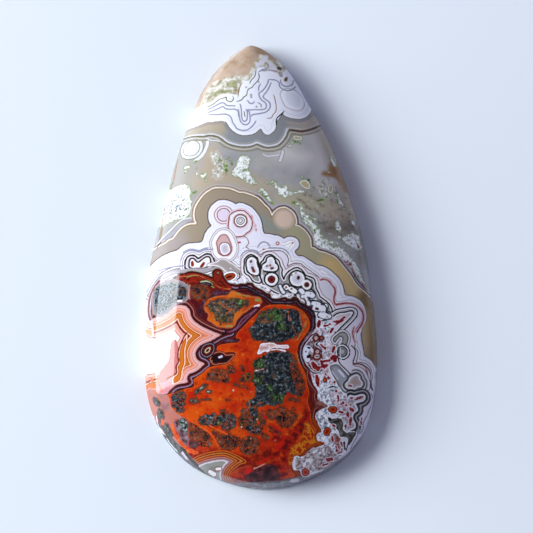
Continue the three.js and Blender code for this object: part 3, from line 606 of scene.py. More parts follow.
grow("purpleBand", areas=[[-0.6, -6.35, -0.3, -6.55, -0.9, -7.15, -2.3, -8.5, -3, -9.1, -3.9, -9.35,
    -4.3, -9.1, -3.4, -8.8, -2.9, -8.3, -2.5, -7.7, -1.9, -7.2, -1.1, -6.7]], bands=[(-0.1, "1C0A10"),
    (0, "56162A"), (0.15, "7A5468"), (0.24, "4A1824")])
grow("coreSmoke", areas=[[-5.2, -4.1, -4.4, -4.3, -3.7, -4.4, -3.9, -4.75, -5, -4.75, -5.9, -5, -6.4, -5.4,
    -6.9, -6.4, -7, -7.3, -7.3, -7, -7.2, -5.9, -6.6, -5.1], [-4.6, -10.1, -3.7, -9.95, -2.6, -10.25,
    -3.3, -10.4, -4.3, -10.35]], ragged=0.15, soft=0.1, mottle=("fine", [(0.4, "2A1016"), (0.52, "4A2230"),
    (0.62, "5E4858")]), bands=[(0, "3A1A24")])
grow("coreSheen", strokes=[(0.09, [-2.4, -3.95, -1.8, -3.9, -1.2, -4.15, -0.5, -4.6, 0.3, -5, 0.9, -5.4,
    1.3, -5.75, 2.4, -5.8, 3.4, -5.8, 4.1, -5.7, 4.7, -6.3, 5.5, -6.7, 6, -7.2, 6, -8.8, 5.6, -9.6]),
    (0.07, [-7.2, -3.35, -6.4, -3.3, -5.9, -3.45])], bands=[(-0.14, "1C0A10"), (0.02, "5E4C5E")])
# granular islands in the core: mossy chalcedony among jasper
grow("jasperGrain", depthOf="coreBody", ragged=0.3, sparse=True, mottle=("fine", [(0.34, "7A1004", 0.65),
    (0.43, "8E1E04", 0), (0.58, "C45A0C", 0), (0.7, "D0701A", 0.6)]), bands=[(0.1, "BC3204")])
grow("paleIsland", areas=[[-12.4, -3.2, -11.6, -2.9, -10.6, -2.7, -9.9, -2.9, -9.2, -3.2, -8.7, -3.6,
    -8.6, -4.4, -8.9, -5, -9.9, -5.2, -11.2, -6.3, -12.1, -6.5, -12.5, -5.8, -12.6, -4.5]], ragged=0.15,
    mottle=("grain", [(0.41, "020303"), (0.47, "10181C"), (0.52, "2E3E48"), (0.57, "8294A0"),
    (0.61, "1E444C"), (0.67, "8A4A2C")]), bands=[(-0.32, "8A7C8A"), (-0.18, "8E7A78"), (-0.05, "6E625C"),
    (0.04, "8090A0")])
grow("wallArc", strokes=[(0.13, [-11.9, -2.4, -12.6, -3.1, -13.1, -4.1, -13.32, -5.2, -13.3, -6.2,
    -13.1, -6.9])], bands=[(-0.1, "B8A0AC"), (0, "6E3A38")])
grow("jasperDeep", areas=[[-9.2, -22.9, -8, -22.6, -6.2, -22.5, -4.6, -22.9, -2.8, -23.4, -0.8, -23.2,
    0.6, -22.6, 1.2, -24.2, 0.4, -26.4, -4, -26.4, -3.4, -25.2, -2.2, -24.5, -3, -24.2, -5, -23.3,
    -7, -23.4, -8.6, -24]], ragged=0.3, soft=0.3, mottle=("fine", [(0.4, "5E0E04"), (0.52, "8E1E04"),
    (0.64, "A83408")]), bands=[(0, "8E1E04")])
grow("islands", areas=[[-6.4, -5.9, -5.7, -5.3, -5, -5.15, -3.6, -5.3, -2.6, -5.3, -1.6, -5.5, -1.4, -5.9,
    -2.1, -6.3, -2.9, -6.9, -3.3, -7.5, -3.5, -8, -4.4, -8.15, -5.2, -7.9, -5.4, -7.2, -5.9, -6.6],
    [0.3, -6.7, 1.2, -6.55, 2.2, -6.5, 3, -6.6, 3.7, -6.65, 4.4, -7, 4.8, -8.6, 4.6, -9.3, 4.1, -9.9,
    3.5, -10.1, 2.9, -10.4, 2.3, -10.6, 1.5, -10.6, -0.4, -10.3, -1.1, -10, -1.4, -9.4, -1.35, -8.7,
    -0.8, -8.1, -0.4, -7.3], [-1.1, -12.6, 0.3, -12, 0.6, -11.7, 1.5, -11.6, 2.5, -11.65, 3.2, -11.7,
    3.8, -12, 3.9, -12.8, 4.1, -13.8, 4.5, -14.4, 4.8, -15.2, 4.8, -16, 4.7, -16.7, 4.2, -16.9, 2.8, -16.4,
    2.6, -16.8, 2.3, -17.4, 1.9, -17.7, 1, -17.9, 0.2, -17.8, -0.8, -17.9, -1.8, -18.2, -2.2, -17.8,
    -1.7, -17.2, -1, -16.8, -0.9, -16.1, -1, -15.5, -1.3, -15.1, -1.2, -14.6, -1.2, -14, -1, -13.7,
    -1.25, -13.1], [-5.3, -18.8, -4.5, -18.5, -3.6, -18.7, -3.2, -19.3, -3.3, -20, -3.8, -20.5, -4.6, -20.5,
    -5.3, -20, -6.2, -20.1, -7, -19.9, -7.6, -19.4, -7.4, -18.9, -6.4, -18.6, -5.8, -18.5], [-10.6, -16.2,
    -10, -15.9, -9.3, -15.8, -9, -16.2, -9.2, -17, -9.2, -17.6, -9.4, -18.2, -9.9, -18.2, -10.4, -17.8,
    -10.7, -17.2], [-2.4, -18.2, -1, -18, -0.6, -18.8, -0.9, -19.8, -0.3, -20.6, -0.6, -21.2, -1.8, -20.8,
    -2.6, -20, -2.8, -18.9], [-9.9, -19.2, -9.2, -19, -8.8, -20, -8.9, -21, -9.3, -21.6, -9.7, -20.8],
    [-8.1, -16.1, -7.5, -15.5, -6.8, -15.05, -6.5, -15.2, -6.8, -15.7, -7.9, -16.3], [-8.8, -16.9,
    -8.2, -16.7, -7.6, -16.8, -7.4, -17.2, -8, -17.35, -8.7, -17.2]], strokes=[(0.4, [-9.3, -4,
    -9.1, -4.1])], ragged=0.4, soft=0.06, mottle=("grain", [(0.36, "101214"), (0.47, "20262A"),
    (0.54, "343C42"), (0.61, "4E5A60"), (0.69, "808C8A"), (0.76, "B8C2BC")]), bands=[(-0.05, "5A3018"),
    (0.08, "44484C")])
grow("islandsBrown", areas=[[-8.2, -3.5, -7.2, -3.4, -6.2, -3.8, -5.9, -4.4, -6.3, -5.1, -7.4, -5.2,
    -8.1, -4.8], [-6.6, -14.1, -6.2, -13.65, -5.3, -13.4, -4.4, -13.5, -3.9, -13, -3.3, -13.2, -3.3, -14,
    -3.9, -14.2, -4, -15, -4.4, -15.35, -4.9, -15, -5.6, -14.95, -6.4, -14.7], [0.3, -18.5, 1, -18.3,
    1.3, -19, 1, -19.6, 0.4, -19.4], [1.2, -18.3, 2.2, -18, 3.1, -18.5, 4, -19, 3.6, -19.7, 3, -20.4,
    2, -20.4, 1.5, -19.8, 1.1, -19], [0.5, -20.2, 1.2, -20.3, 1.9, -20.9, 2, -21.5, 1.4, -21.4, 0.7, -20.9],
    [-2.9, -21.9, -2.3, -21.3, -1.4, -21.4, -0.7, -21.6, -0.5, -22.2, -0.7, -23.1, -1.5, -23.45,
    -2.3, -23.4, -2.9, -22.8], [-0.5, -21, 0.2, -21.1, 0.6, -21.6, 0.2, -21.9, -0.3, -21.7], [-3.9, -21.4,
    -3.2, -21.3, -3.1, -21.9, -3.5, -22.3], [-2.9, -19, -2.3, -18.6, -1.6, -18.5, -1.8, -19.4, -2.4, -20.5,
    -2.9, -20.2], [-5.7, -20.7, -4.6, -21, -3.4, -21.1, -2.8, -21.7, -3.1, -22.5, -3.6, -22.8, -4.6, -22.8,
    -5.4, -22.3], [-0.4, -18.6, 0.2, -18.5, 0.3, -19.4, 0.1, -20.2, -0.3, -20.7, -0.5, -19.8], [-8.5, -19.4,
    -7.4, -20, -6.4, -20.9, -6.1, -21.8, -6.3, -22.3, -7.5, -22.2, -8.6, -22.2, -8.8, -21], [-2.9, -14.7,
    -2.2, -14.1, -1.5, -14.2, -1.3, -14.9, -1.9, -15.1, -2.6, -15.1], [3.4, -12.2, 3.9, -12.1, 4.1, -13.5,
    4.5, -14.4, 4.8, -15.4, 4.7, -16.5, 4.1, -16.6, 3.8, -15.4, 3.4, -14.4]], strokes=[(0.22, [-2.45, -13.3,
    -2.3, -13.7]), (0.17, [-3.2, -15.25, -2.7, -15.5, -1.9, -15.75]), (0.13, [-4.5, -17, -3.9, -17.1]),
    (0.45, [1.75, -23.3]), (0.25, [3.5, -18.3]), (0.3, [1.4, -18.6, 1.7, -18.6]), (0.2, [-4.9, -18.55,
    -4.5, -18.6]), (0.25, [3.1, -17.2, 4, -17.3])], ragged=0.3, soft=0.08,
    mottle=("fine", [(0.32, "100C0E"), (0.42, "30201E"), (0.52, "523226"), (0.58, "7A3412"),
    (0.64, "4A3E3A"), (0.72, "7C7068")]), bands=[(-0.04, "7A2A10"), (0.1, "4E2A20")])
grow("islandShade", depthOf="islands", ragged=0.3, sparse=True, mottle=("fine", [(0.36, "0C0E10", 0.85),
    (0.47, "0C0E10", 0), (0.6, "5A3A26", 0), (0.68, "6A4630", 0.75)]), bands=[(0.05, "1A1A1A")])
grow("islandSlivers", strokes=[(0.2, [-7.8, -16, -7.2, -15.6, -6.8, -15.3]), (0.16, [-6.5, -16,
    -6.1, -16.05]), (0.17, [-8.5, -16.95, -7.7, -17.05]), (0.09, [-7.3, -16.9, -6.2, -16.95]),
    (0.12, [-5, -18.3, -4.6, -18.25]), (0.08, [-3.4, -15.3, -2.9, -15.5])], ragged=0.14, soft=0.06,
    mottle=("grain", [(0.4, "1A1C1C"), (0.5, "3E4440"), (0.58, "7E8A80"), (0.66, "A8B4A8")]),
    bands=[(-0.08, "6A2A12"), (0.03, "3A3E3C")])
grow("islandOlive", areas=[[-6.3, -5.9, -5.7, -5.3, -4.3, -5.2, -2.6, -5.3, -1.5, -5.6, -2.1, -6.3,
    -2.9, -6.9, -3.4, -7.9, -4.4, -8.1, -5.2, -7.8, -5.9, -6.6], [0.3, -6.8, 1.4, -6.6, 1.5, -7.6,
    0.6, -8.3, -0.5, -8, -0.4, -7.3]], ragged=0.4, soft=0.1, sparse=True,
    mottle=("fine", [(0.36, "6A5A30", 0.85), (0.46, "5A4A22", 0.1), (0.54, "6E3E20", 0.2),
    (0.62, "8A5A34", 0.85)]), bands=[(0, "5A4A2A")])
grow("islandVeins", strokes=[(0.05, [-4.9, -5.6, -4.2, -6.3, -3.4, -6.5, -2.8, -6.2]), (0.05, [-5.4, -6.2,
    -4.8, -7, -4.6, -7.8]), (0.04, [-3.4, -5.4, -3.5, -6.4, -4.3, -7.2]), (0.05, [3.2, -6.9, 3.25, -7.6,
    3.4, -8.1]), (0.05, [3.5, -8.6, 3.9, -9.2, 4, -9.6]), (0.04, [-5.2, -14.3, -4.7, -14.9]),
    (0.06, [-2.1, -16.9, -1.6, -17.6, -2, -18.4]), (0.05, [2.6, -16.7, 2.2, -17.6])], ragged=0.1, soft=0.03,
    bands=[(0, "B4561C")])
grow("mossGreen", strokes=[(0.35, [-0.7, -13.1, -0.3, -13]), (0.4, [-0.9, -14.6, -0.5, -15]),
    (0.5, [1.3, -7.2, 2, -7.5]), (0.3, [2.1, -8.6, 2.4, -8.7]), (0.3, [1, -16.8, 2, -17.1]),
    (0.25, [-4.7, -7.5]), (0.3, [-2.2, -5.6]), (0.14, [-0.75, -19.4]), (0.1, [-1.4, -19.8]),
    (0.12, [-2.6, -20.2]), (0.14, [-1.5, -21.65]), (0.12, [-5.3, -19.6]), (0.2, [0.7, -15.8, 0.8, -16.2]),
    (0.15, [-1.8, -14.7]), (0.1, [-5.7, -20.7])], ragged=0.9, soft=0.12, sparse=True,
    mottle=("grain", [(0.4, "1A2610", 0), (0.48, "2E481A", 0.7), (0.57, "466632"), (0.66, "7C9868"),
    (0.75, "BACAB0")]), bands=[(-0.1, "2E3C1C"), (0.04, "4A6A2A")])
grow("islandNet", depthOf="islands", ragged=0.2, within={"areas": [[-11, -15.5, -8.8, -15.5, -8.8, -18.5,
    -11, -18.5], [-10.2, -18.6, -3, -17.8, 0.2, -17.6, 0.2, -21.6, -3, -21, -8.4, -21, -10.2, -22]]},
    sparse=True, mottle=("net", [(0.014, "A8440C", 0.85), (0.04, "8A3A14", 0)]), bands=[(0.1, "A8440C")])
grow("brownNet", depthOf="islandsBrown", ragged=0.2, sparse=True, mottle=("net", [(0.016, "BC4A10", 0.85),
    (0.045, "8A3A14", 0)]), bands=[(0.1, "A8440C")])
grow("crumbs", strokes=[(0.1, [-3.5, -16]), (0.07, [-1.4, -16.25]), (0.05, [-0.9, -13.82, 0.1, -13.62]),
    (0.07, [1.4, -21.75, 1.2, -21.9]), (0.09, [-0.8, -19.4]), (0.08, [-2.65, -20.25]),
    (0.09, [-1.6, -21.6]), (0.08, [1.9, -21.5]), (0.06, [3.5, -18.3]), (0.05, [1, -24.1, 1.3, -24.1]),
    (0.07, [1.45, -24.8]), (0.06, [-1.5, -25.6]), (0.12, [-5.05, -12.1, -4.75, -12]),
    (0.05, [-2.8, -18.85]), (0.05, [-1.45, -20.6]), (0.12, [-9.7, -5.15, -9.3, -5.15])], ragged=0.08,
    bands=[(-0.03, "A86A5A"), (0.01, "DCDCE2")])
grow("sliver", areas=[[-0.6, -11.8, -0.35, -11.2, -0.2, -10.75, 0.4, -10.62, 1.3, -10.62, 1.8, -10.88,
    3.1, -10.92, 3, -11.25, 2.4, -11.22, 1.2, -11.2, 0.7, -11.4, 0.1, -11.65, -0.4, -11.88]],
    strokes=[(0.06, [0.5, -11.6, 1.2, -11.4, 2, -11.42, 2.7, -11.58])], ragged=0.08,
    mottle=("fine", [(0.4, "E6DCE4"), (0.62, "C8A4A0")]), bands=[(-0.1, "6A1410"), (-0.02, "F0E8EE"),
    (0.2, "DCC4C8")])
grow("sliverPink", strokes=[(0.2, [-0.15, -11.2, 0.5, -11.15])], soft=0.15, within="sliver",
    bands=[(0, "B08688")])
grow("vein", strokes=[(0.07, [4.6, -7.2, 4.55, -7.8, 4.6, -8.3, 4.8, -8.7]), (0.06, [-8.3, -3.3,
    -8.35, -3.9, -8.5, -4.6, -8.3, -5.1]), (0.07, [-1.3, -25, -0.7, -24.8, 0, -24.5]), (0.05, [3.1, -6.8,
    3.2, -8])], bands=[(0, "C88878")])
# red and orange stripes, and the dark foot
grow("salmonSide", areas=[[-14, -15.4, -12.9, -15.3, -12.2, -15.9, -11.3, -16.1, -10.9, -16.6, -10.9, -17.2,
    -10.5, -18, -9.8, -18.6, -9.5, -18.9, -10.5, -19, -10.6, -20, -10.2, -20.8, -9.6, -21.9, -9.2, -22.4,
    -10, -22.6, -10.8, -21.6, -11.6, -20.3, -12.3, -19.7, -13, -18.8, -14, -18]], ragged=0.15, soft=0.08,
    mottle=("coarse", [(0.38, "846260"), (0.46, "A4706C"), (0.54, "B46C62"), (0.64, "8E7068")]),
    bands=[(0, "AC7874")])
grow("wallBars", strokes=[(0.2, [-13.05, -14, -12.95, -14.25]), (0.19, [-13.05, -14.9, -12.75, -14.9]),
    (0.09, [-12.3, -13.7, -12.25, -14.4, -11.85, -15.6]), (0.06, [-13.8, -13.85, -13.3, -13.85]),
    (0.09, [-13.8, -14.95, -13.4, -14.95]), (0.08, [-12.85, -15.6, -12.4, -15.6])], soft=0.04,
    bands=[(0, "D0682A")])
grow("salmonEdge", strokes=[(0.35, [-13.6, -15.8, -13.5, -17, -13.1, -18.3]), (0.3, [-11.4, -18.2,
    -10.6, -18.7, -10.7, -19.4])], ragged=0.2, soft=0.15, bands=[(0, "B06A5A")])
grow("sideStones", areas=[[-12.6, -19.2, -12.1, -19.9, -11.3, -21, -10.4, -22, -9.6, -22.8, -9.9, -23.2,
    -10.9, -22.4, -12, -21, -12.9, -19.4], [-12.95, -16.2, -12.5, -16.35, -12.1, -16.9, -12.25, -17.25,
    -12.7, -17.1, -12.95, -16.7], [-12.3, -17.6, -11.95, -17.7, -11.7, -18.4, -11.75, -19, -12, -19.3,
    -12.35, -18.9, -12.5, -18.2], [-11.75, -19.3, -11.3, -19.4, -10.95, -20.1, -10.6, -20.8, -11.1, -20.9,
    -11.7, -20.4, -12, -19.9], [-11.95, -20.5, -11.3, -20.7, -10.7, -21.2, -10.1, -21.9, -9.5, -22.5,
    -9.7, -22.9, -10.3, -22.6, -11, -21.8, -11.6, -21.1]], ragged=0.15, soft=0.05,
    mottle=("grain", [(0.38, "15180F"), (0.48, "343A36"), (0.56, "5C6664"), (0.64, "6E5A4A"),
    (0.7, "8A8478")]), bands=[(-0.12, "7A4A40"), (0, "3A3C38")])
grow("greyLilac", areas=[[-10.45, -19.2, -9.9, -18.9, -9.2, -18.9, -8.9, -19.5, -8.8, -21.5, -8.9, -22.2,
    -9.3, -22, -9.8, -21.2, -10.45, -19.7]], ragged=0.25, soft=0.08, mottle=("fine", [(0.36, "241618"),
    (0.45, "543A3C"), (0.54, "7A5A60"), (0.64, "8A7C88")]), bands=[(0, "806468")])
grow("stoneCrumbs", areas=[[-9.8, -19.1, -9.1, -18.95, -8.8, -19.6, -8.9, -20.4, -9.3, -20.6, -9.7, -20]],
    ragged=0.2, soft=0.06, mottle=("grain", [(0.4, "1C1E1E"), (0.5, "4A5450"), (0.6, "9AA6A2")]),
    bands=[(0, "4A504C")])
grow("maroonStone", strokes=[(0.36, [-8.45, -21.9, -8.1, -22.1]), (0.16, [-5.9, -20.9, -5.7, -20.9])],
    ragged=0.25, soft=0.06, mottle=("fine", [(0.42, "2E181C"), (0.6, "644248")]), bands=[(-0.04, "6A2414"),
    (0.04, "44262C")])
grow("orangeStripe", strokes=[(0.17, [-10.75, -19.6, -10.4, -20.6, -10, -21.35, -9.5, -22, -9.2, -22.2]),
    (0.15, [-11.95, -18.9, -11.85, -19.4]), (0.25, [-9, -22.6, -8.5, -22.7]), (0.2, [-8.2, -22.9,
    -7.9, -22.9]), (0.09, [-9, -18.9, -7.6, -19.9, -6.2, -20.9, -5.4, -22.3]), (0.07, [-6.4, -19.9,
    -5.3, -20.5, -4.4, -21])], ragged=0.12, soft=0.05, mottle=("fine", [(0.4, "C04010"), (0.55, "D8581E"),
    (0.66, "CC7A48")]), bands=[(0, "D0521C")])
grow("darkRed", areas=[[1, -20.6, 2.4, -21.6, 3, -21, 4.2, -19.6, 4.9, -18.2, 5.4, -19, 5.2, -20.6,
    4.2, -21.5, 3.2, -22.6, 2.8, -24, 2.9, -25.4, 2, -26.2, 0.6, -26.2, 0.8, -24, 0.6, -22.8, 1.6, -22.4,
    0.9, -21.6]], ragged=0.5, soft=0.15, mottle=("fine", [(0.38, "560A04"), (0.48, "8A0E02"),
    (0.56, "A01A04"), (0.66, "B83C08")]), bands=[(0, "7E0A04")])
grow("brightRed", strokes=[(0.14, [-0.7, -24.35, 0, -24.05, 0.5, -24]), (0.3, [-2.2, -25.3, -1.8, -25.25]),
    (0.1, [0, -19, 0.5, -19.7, 1.1, -20.3, 1.8, -20.8]), (0.22, [2.3, -21.5, 1.9, -22.3, 1.3, -22.8])],
    ragged=0.3, soft=0.08, mottle=("fine", [(0.4, "960E04"), (0.55, "BE1606")]), bands=[(0, "B41406")])
grow("amberSide", areas=[[3.2, -22.5, 3.8, -22.3, 4.4, -21.3, 4.9, -19.8, 5.5, -20.2, 6, -20.9, 5.9, -21.6,
    6.6, -22.2, 5, -22.7, 4.5, -23.4, 3.4, -23.7, 3.2, -24.8, 2.8, -24.6, 2.9, -23.4]], ragged=0.25,
    soft=0.08, mottle=("net", [(0.04, "CC7A18"), (0.1, "C05408"), (0.16, "941E04"), (0.32, "B03404")]),
    bands=[(0, "A04A0E")])
grow("darkFoot", areas=[[-1.2, -25.2, -0.3, -24.8, 0.6, -24.5, 1.2, -24.7, 1.7, -25.5, 1.8, -26.2, 0, -26.5,
    -2, -26.4, -2.4, -25.9]], ragged=0.14, soft=0.1, mottle=("fine", [(0.38, "200C10"), (0.5, "3A161A"),
    (0.64, "5E2C30")]), bands=[(0, "3E1A20")])
# the pocket and its eye, where the chevrons meet the core
grow("pocket", areas=[[-5.9, -11.8, -5.4, -11.5, -4.6, -11.55, -4.3, -11.85, -3.3, -11.85, -3.6, -12.3,
    -4.2, -12.8, -5, -12.85, -5.7, -12.9, -6.1, -12.4]], bands=[(-0.12, "5E1410"), (-0.03, "B06A50"),
    (0.06, "4A0E0C"), (0.2, "1A0808")])
grow("pocketEye", areas=[[-6.98, -11.5, -6.9, -10.95, -6.4, -10.62, -5.85, -10.62, -5.78, -11.1,
    -5.95, -11.5, -6.2, -11.75, -6.6, -11.85]], bands=[(-0.3, "1A0A0C"), (-0.18, "7A6A7C"),
    (-0.08, "240A0C"), (0.07, "5E100A"), (0.22, "2A0A08"), (0.26, "BFA98A"), (0.38, "3A1410")])
grow("pocketDots", strokes=[(0.12, [-5.05, -12.1, -4.75, -12]), (0.04, [-5.9, -12.5])],
    bands=[(-0.05, "8A5A5A"), (0, "C4CCE4")])
# bands over the eye at the foot
grow("footBands", areas=[[-9.7, -25.5, -9, -24.15, -8.3, -23.7, -7.6, -23.35, -5.9, -23, -5, -22.95,
    -4.2, -23.1, -2.35, -24.1, -2.3, -24.2, -2.5, -24.25, -3, -24.4, -3.95, -25.1, -4.25, -25.6,
    -4.2, -26.1, -3.8, -26.6, -3.6, -27.6, -9.7, -27.6]], reach=1.7, bands=[(-0.24, "7A1606"),
    (-0.16, "C05812"), (-0.02, "560C06"), (0.09, "BC702E"), (0.22, "621006"), (0.33, "C0621E"),
    (0.48, "7A2014"), (0.58, "A8746A"), (0.74, "783A3A"), (0.81, "A4888C"), (0.93, "D2CEDA"),
    (1.06, "8A8C84"), (1.5, "7E8078")])
grow("footEye", strokes=[(0.24, [-6.4, -25.2, -6, -25.45]), (0.12, [-5.6, -24.85, -5.2, -24.85])],
    bands=[(-0.13, "7A3A28"), (-0.04, "E6E6E8")])
grow("footWall", areas=[[-10.4, -22.9, -9.6, -23, -9.1, -23.5, -8.5, -24, -8, -24.5, -7.6, -25, -7.1, -25.4,
    -5.4, -26.15, -4.6, -26.3, -3.9, -26.55, -2, -26.55, 1.6, -26.4, 4.2, -25.95, 5.2, -25.9, 6.4, -25.5,
    7.6, -24.9, 8.8, -24.1, 10, -26, 10, -30, -15, -30, -12, -23]], ragged=0.08, soft=0.12,
    mottle=("fine", [(0.38, "5E464C"), (0.48, "5C5C64"), (0.62, "868892")]), bands=[(0, "6C6E76")])
# pale marks on the wall at the foot; the long thin stroke along the lower-left edge is a painted highlight
grow("wallChips", strokes=[(0.2, [3.2, -26.45, 3.8, -26.4]), (0.16, [-9.6, -22.9, -9.1, -23.5]),
    (0.05, [-13.05, -18.4, -12.85, -19.5, -12.35, -20.55, -11.65, -21.55, -10.3, -23.2]),
    (0.12, [-12.3, -20, -12, -20.4])], ragged=0.08, soft=0.05, bands=[(-0.04, "A89CA4"), (0, "C8C4CC")])
# the lower right wall, painted dark grey as painted shade on the side away from the light
grow("rightWall", areas=[[7.6, -24.9, 8.8, -24.1, 9.8, -23.4, 10.6, -22.5, 11.9, -20.9, 12.3, -20.1,
    12.7, -19.2, 13.05, -18, 13.5, -15, 13.6, -13.6, 16, -13, 16, -22, 10, -28]], soft=0.12,
    mottle=("fine", [(0.4, "6A666E"), (0.6, "86838C")]), bands=[(0, "78747C")])
grow("footRim", strokes=[(0.15, [-9.75, -22.25, -9.4, -22.55, -9.1, -23.05, -8.7, -23.6, -7.95, -24.35]),
    (0.09, [-7.95, -24.35, -7.8, -24.7, -7.5, -25, -7.1, -25.4, -6.5, -25.75])], bands=[(-0.04, "4A3630"),
    (0, "100C0C")])

# the lilac, crumbly lace on the right of the core
grow("crumbly", areas=[[6.3, -7, 5.9, -6.4, 5.3, -5.9, 5.6, -5.4, 6.3, -5.2, 6.9, -5.7, 8.2, -6.8,
    8.7, -7.4, 8, -8.1, 8.7, -8.7, 8.2, -9.6, 7.8, -10.3, 8.3, -10.9, 8.75, -11.5, 8.6, -12.4, 8.8, -13,
    8, -13.2, 7.8, -14, 8.4, -15, 9.6, -16.2, 10.1, -17.3, 10.9, -17.6, 10.7, -18.5, 10.4, -19.2,
    10.3, -20.4, 9.6, -20.9, 9.3, -20.2, 8.9, -19.4, 7.6, -19.1, 8, -20, 8.6, -20.7, 9, -21.6, 9.3, -22.3,
    9.3, -23.5, 8.4, -24.3, 7, -25.1, 5.8, -25.5, 4.9, -26, 4.3, -25.8, 4.1, -25.3, 3.35, -25.2, 3.3, -24.2,
    3.5, -23.7, 4.4, -23.75, 5.05, -23.4, 5.3, -22.95, 6.6, -22.55, 7.15, -22.2, 6.2, -21.9, 6.2, -21.2,
    6.7, -20.9, 6.2, -19.7, 6.1, -18.9, 6.8, -18.3, 7.5, -18, 6.4, -17.3, 6.4, -16.3, 5.8, -15.2, 5.6, -14,
    5.2, -13.3, 4.85, -12.4, 4.8, -11.5, 5.9, -9.6, 6.4, -8.7]], ragged=0.12,
    mottle=("grain", [(0.34, "4E5260"), (0.42, "888E9C"), (0.47, "C4C8D6"), (0.54, "E6E9F4"),
    (0.62, "F8FAFF")]), bands=[(0, "D8DAE8")])
grow("crumblyPink", areas=[[5.4, -9.6, 7.2, -9, 8.2, -9.9, 8.4, -11.5, 8.5, -13, 7.6, -14.4, 7, -15.3,
    6, -15, 5.3, -13.3, 5, -11.5], [7.9, -16.4, 9.6, -16.8, 10.2, -18.6, 9.4, -20, 8.6, -18, 8, -17.4]],
    ragged=0.3, soft=0.1, sparse=True, mottle=("fine", [(0.42, "C4A0B0", 0), (0.52, "B88A9A", 0.55),
    (0.64, "A86A78", 0.8)]), bands=[(0, "C4A0B0")])
grow("crumblyWarm", areas=[[5.2, -23, 6.6, -22.7, 7.5, -22.5, 8.2, -23.3, 8.8, -23.8, 8, -24.6, 6.5, -25.3,
    5.3, -25.2, 3.6, -25, 3.6, -24, 4.6, -23.9]], ragged=0.2, soft=0.1, mottle=("grain", [(0.37, "54484C"),
    (0.44, "867478"), (0.51, "A89A9E"), (0.6, "C8BEC6")]), bands=[(0, "A09096")])
grow("crumblyPale", strokes=[(0.17, [4.6, -24.7, 5, -24.2, 5.5, -24.2]), (0.12, [5.4, -24.4, 5.8, -25]),
    (0.16, [5.7, -23.3, 6, -23.1, 6.5, -23.3]), (0.12, [6.9, -22.9, 7, -23.5]), (0.12, [3.5, -23.9,
    3.5, -24.9])], ragged=0.2, soft=0.05, bands=[(0, "DCDEE8")])
grow("crumblyDark", strokes=[(0.08, [6.2, -23.25, 6.4, -23.1]), (0.11, [6.95, -23.7]), (0.09, [6.1, -25]),
    (0.13, [7.6, -24.2, 7.95, -23.9]), (0.07, [9.05, -23.5]), (0.13, [8.35, -15.2]), (0.1, [7.3, -14.5]),
    (0.1, [7.3, -8.5, 7.8, -8.6]), (0.08, [7.75, -15.85, 8, -15.75, 8.3, -15.7]), (0.1, [8.1, -16.2]),
    (0.09, [9.5, -16.95]), (0.06, [6.2, -5.5, 6.5, -5.9, 6.9, -5.8]), (0.07, [6.9, -6.5, 7.3, -6.7,
    7.3, -7]), (0.06, [5.9, -6, 6.3, -6.3]), (0.07, [7.7, -6.5, 8.1, -6.9, 8.6, -7]), (0.07, [7.4, -7.9,
    7.8, -7.9]), (0.07, [7.4, -10.4]), (0.08, [7.6, -12.1])], ragged=0.12, soft=0.04, bands=[(0, "2A2226")])
grow("crumblyBrown", areas=[[6, -17.2, 6.7, -17.35, 7.2, -17.7, 7.6, -17.9, 7.1, -18.2, 6.5, -18.25,
    6.1, -17.9]], strokes=[(0.14, [7, -10.9, 7.2, -11.3]), (0.15, [8.9, -18.5, 9.4, -18.9])], ragged=0.2,
    soft=0.08, mottle=("fine", [(0.42, "5E2620"), (0.58, "94605A")]), bands=[(0, "7A3A34")])
grow("shoulderCrumbs", strokes=[(0.2, [4.75, -4.35, 4.95, -4.65]), (0.27, [5.5, -4.8, 6.05, -4.95]),
    (0.22, [6.2, -5.95, 6.5, -5.9, 6.85, -5.9]), (0.34, [6.4, -6.45, 7.2, -6.5]), (0.3, [7, -7.3,
    7.9, -7.4]), (0.13, [2.25, -3.85, 2.45, -4.3, 2.7, -4.6]), (0.14, [4.9, -5.1, 5.4, -5.5, 5.6, -6]),
    (0.2, [7.6, -6.2, 7.5, -6.7])], ragged=0.14, bands=[(-0.2, "1C1A22"), (-0.1, "7A7C88"),
    (-0.02, "EAECF6")])
grow("shoulderSpots", strokes=[(0.1, [5.85, -4.8]), (0.1, [6.55, -6]), (0.15, [6.5, -6.55, 6.65, -6.6]),
    (0.09, [7.7, -7.5, 7.9, -7.6]), (0.09, [4.65, -5.5]), (0.11, [5.05, -5.35, 5.2, -5.6]),
    (0.09, [7.2, -7.95, 7.4, -7.9]), (0.15, [4.5, -2.75, 4.42, -2.95]), (0.1, [6.1, -6.2, 5.8, -6.5])],
    ragged=0.1, soft=0.05, bands=[(0, "3E1214")])
grow("redMottle", areas=[[8.2, -21.2, 8.9, -21.5, 9.15, -22.2, 9.2, -23.1, 8.8, -23.5, 8.4, -23.2,
    8.3, -22.4, 7.9, -21.9]], ragged=0.25, soft=0.05, mottle=("fine", [(0.38, "A84A30"), (0.48, "6E2226"),
    (0.58, "B08C88"), (0.68, "C8B4B8")]), bands=[(0, "8A4A44")])
grow("latticeDark", areas=[[5.3, -10.5, 4.95, -11, 4.72, -11.8, 4.85, -12.6, 5.7, -13.9, 6.4, -14.1,
    7, -13.4, 6.9, -12.2, 6.8, -11.2, 6.2, -10.8, 6.8, -10.2, 6.4, -9.6, 5.9, -9.8]],
    mottle=("fine", [(0.42, "A2949F"), (0.5, "4E1C1E"), (0.58, "7E3A3C"), (0.66, "C8C2D0")]),
    bands=[(-0.14, "140A0A"), (0, "D6DAEC"), (0.3, "9A4A44")])
grow("latticeWhite", strokes=[(0.3, [5.3, -11.2, 5.1, -11.9, 5.3, -12.6]), (0.15, [5.5, -11.1,
    5.9, -11.6])], ragged=0.08, bands=[(0, "D6DAEC")])
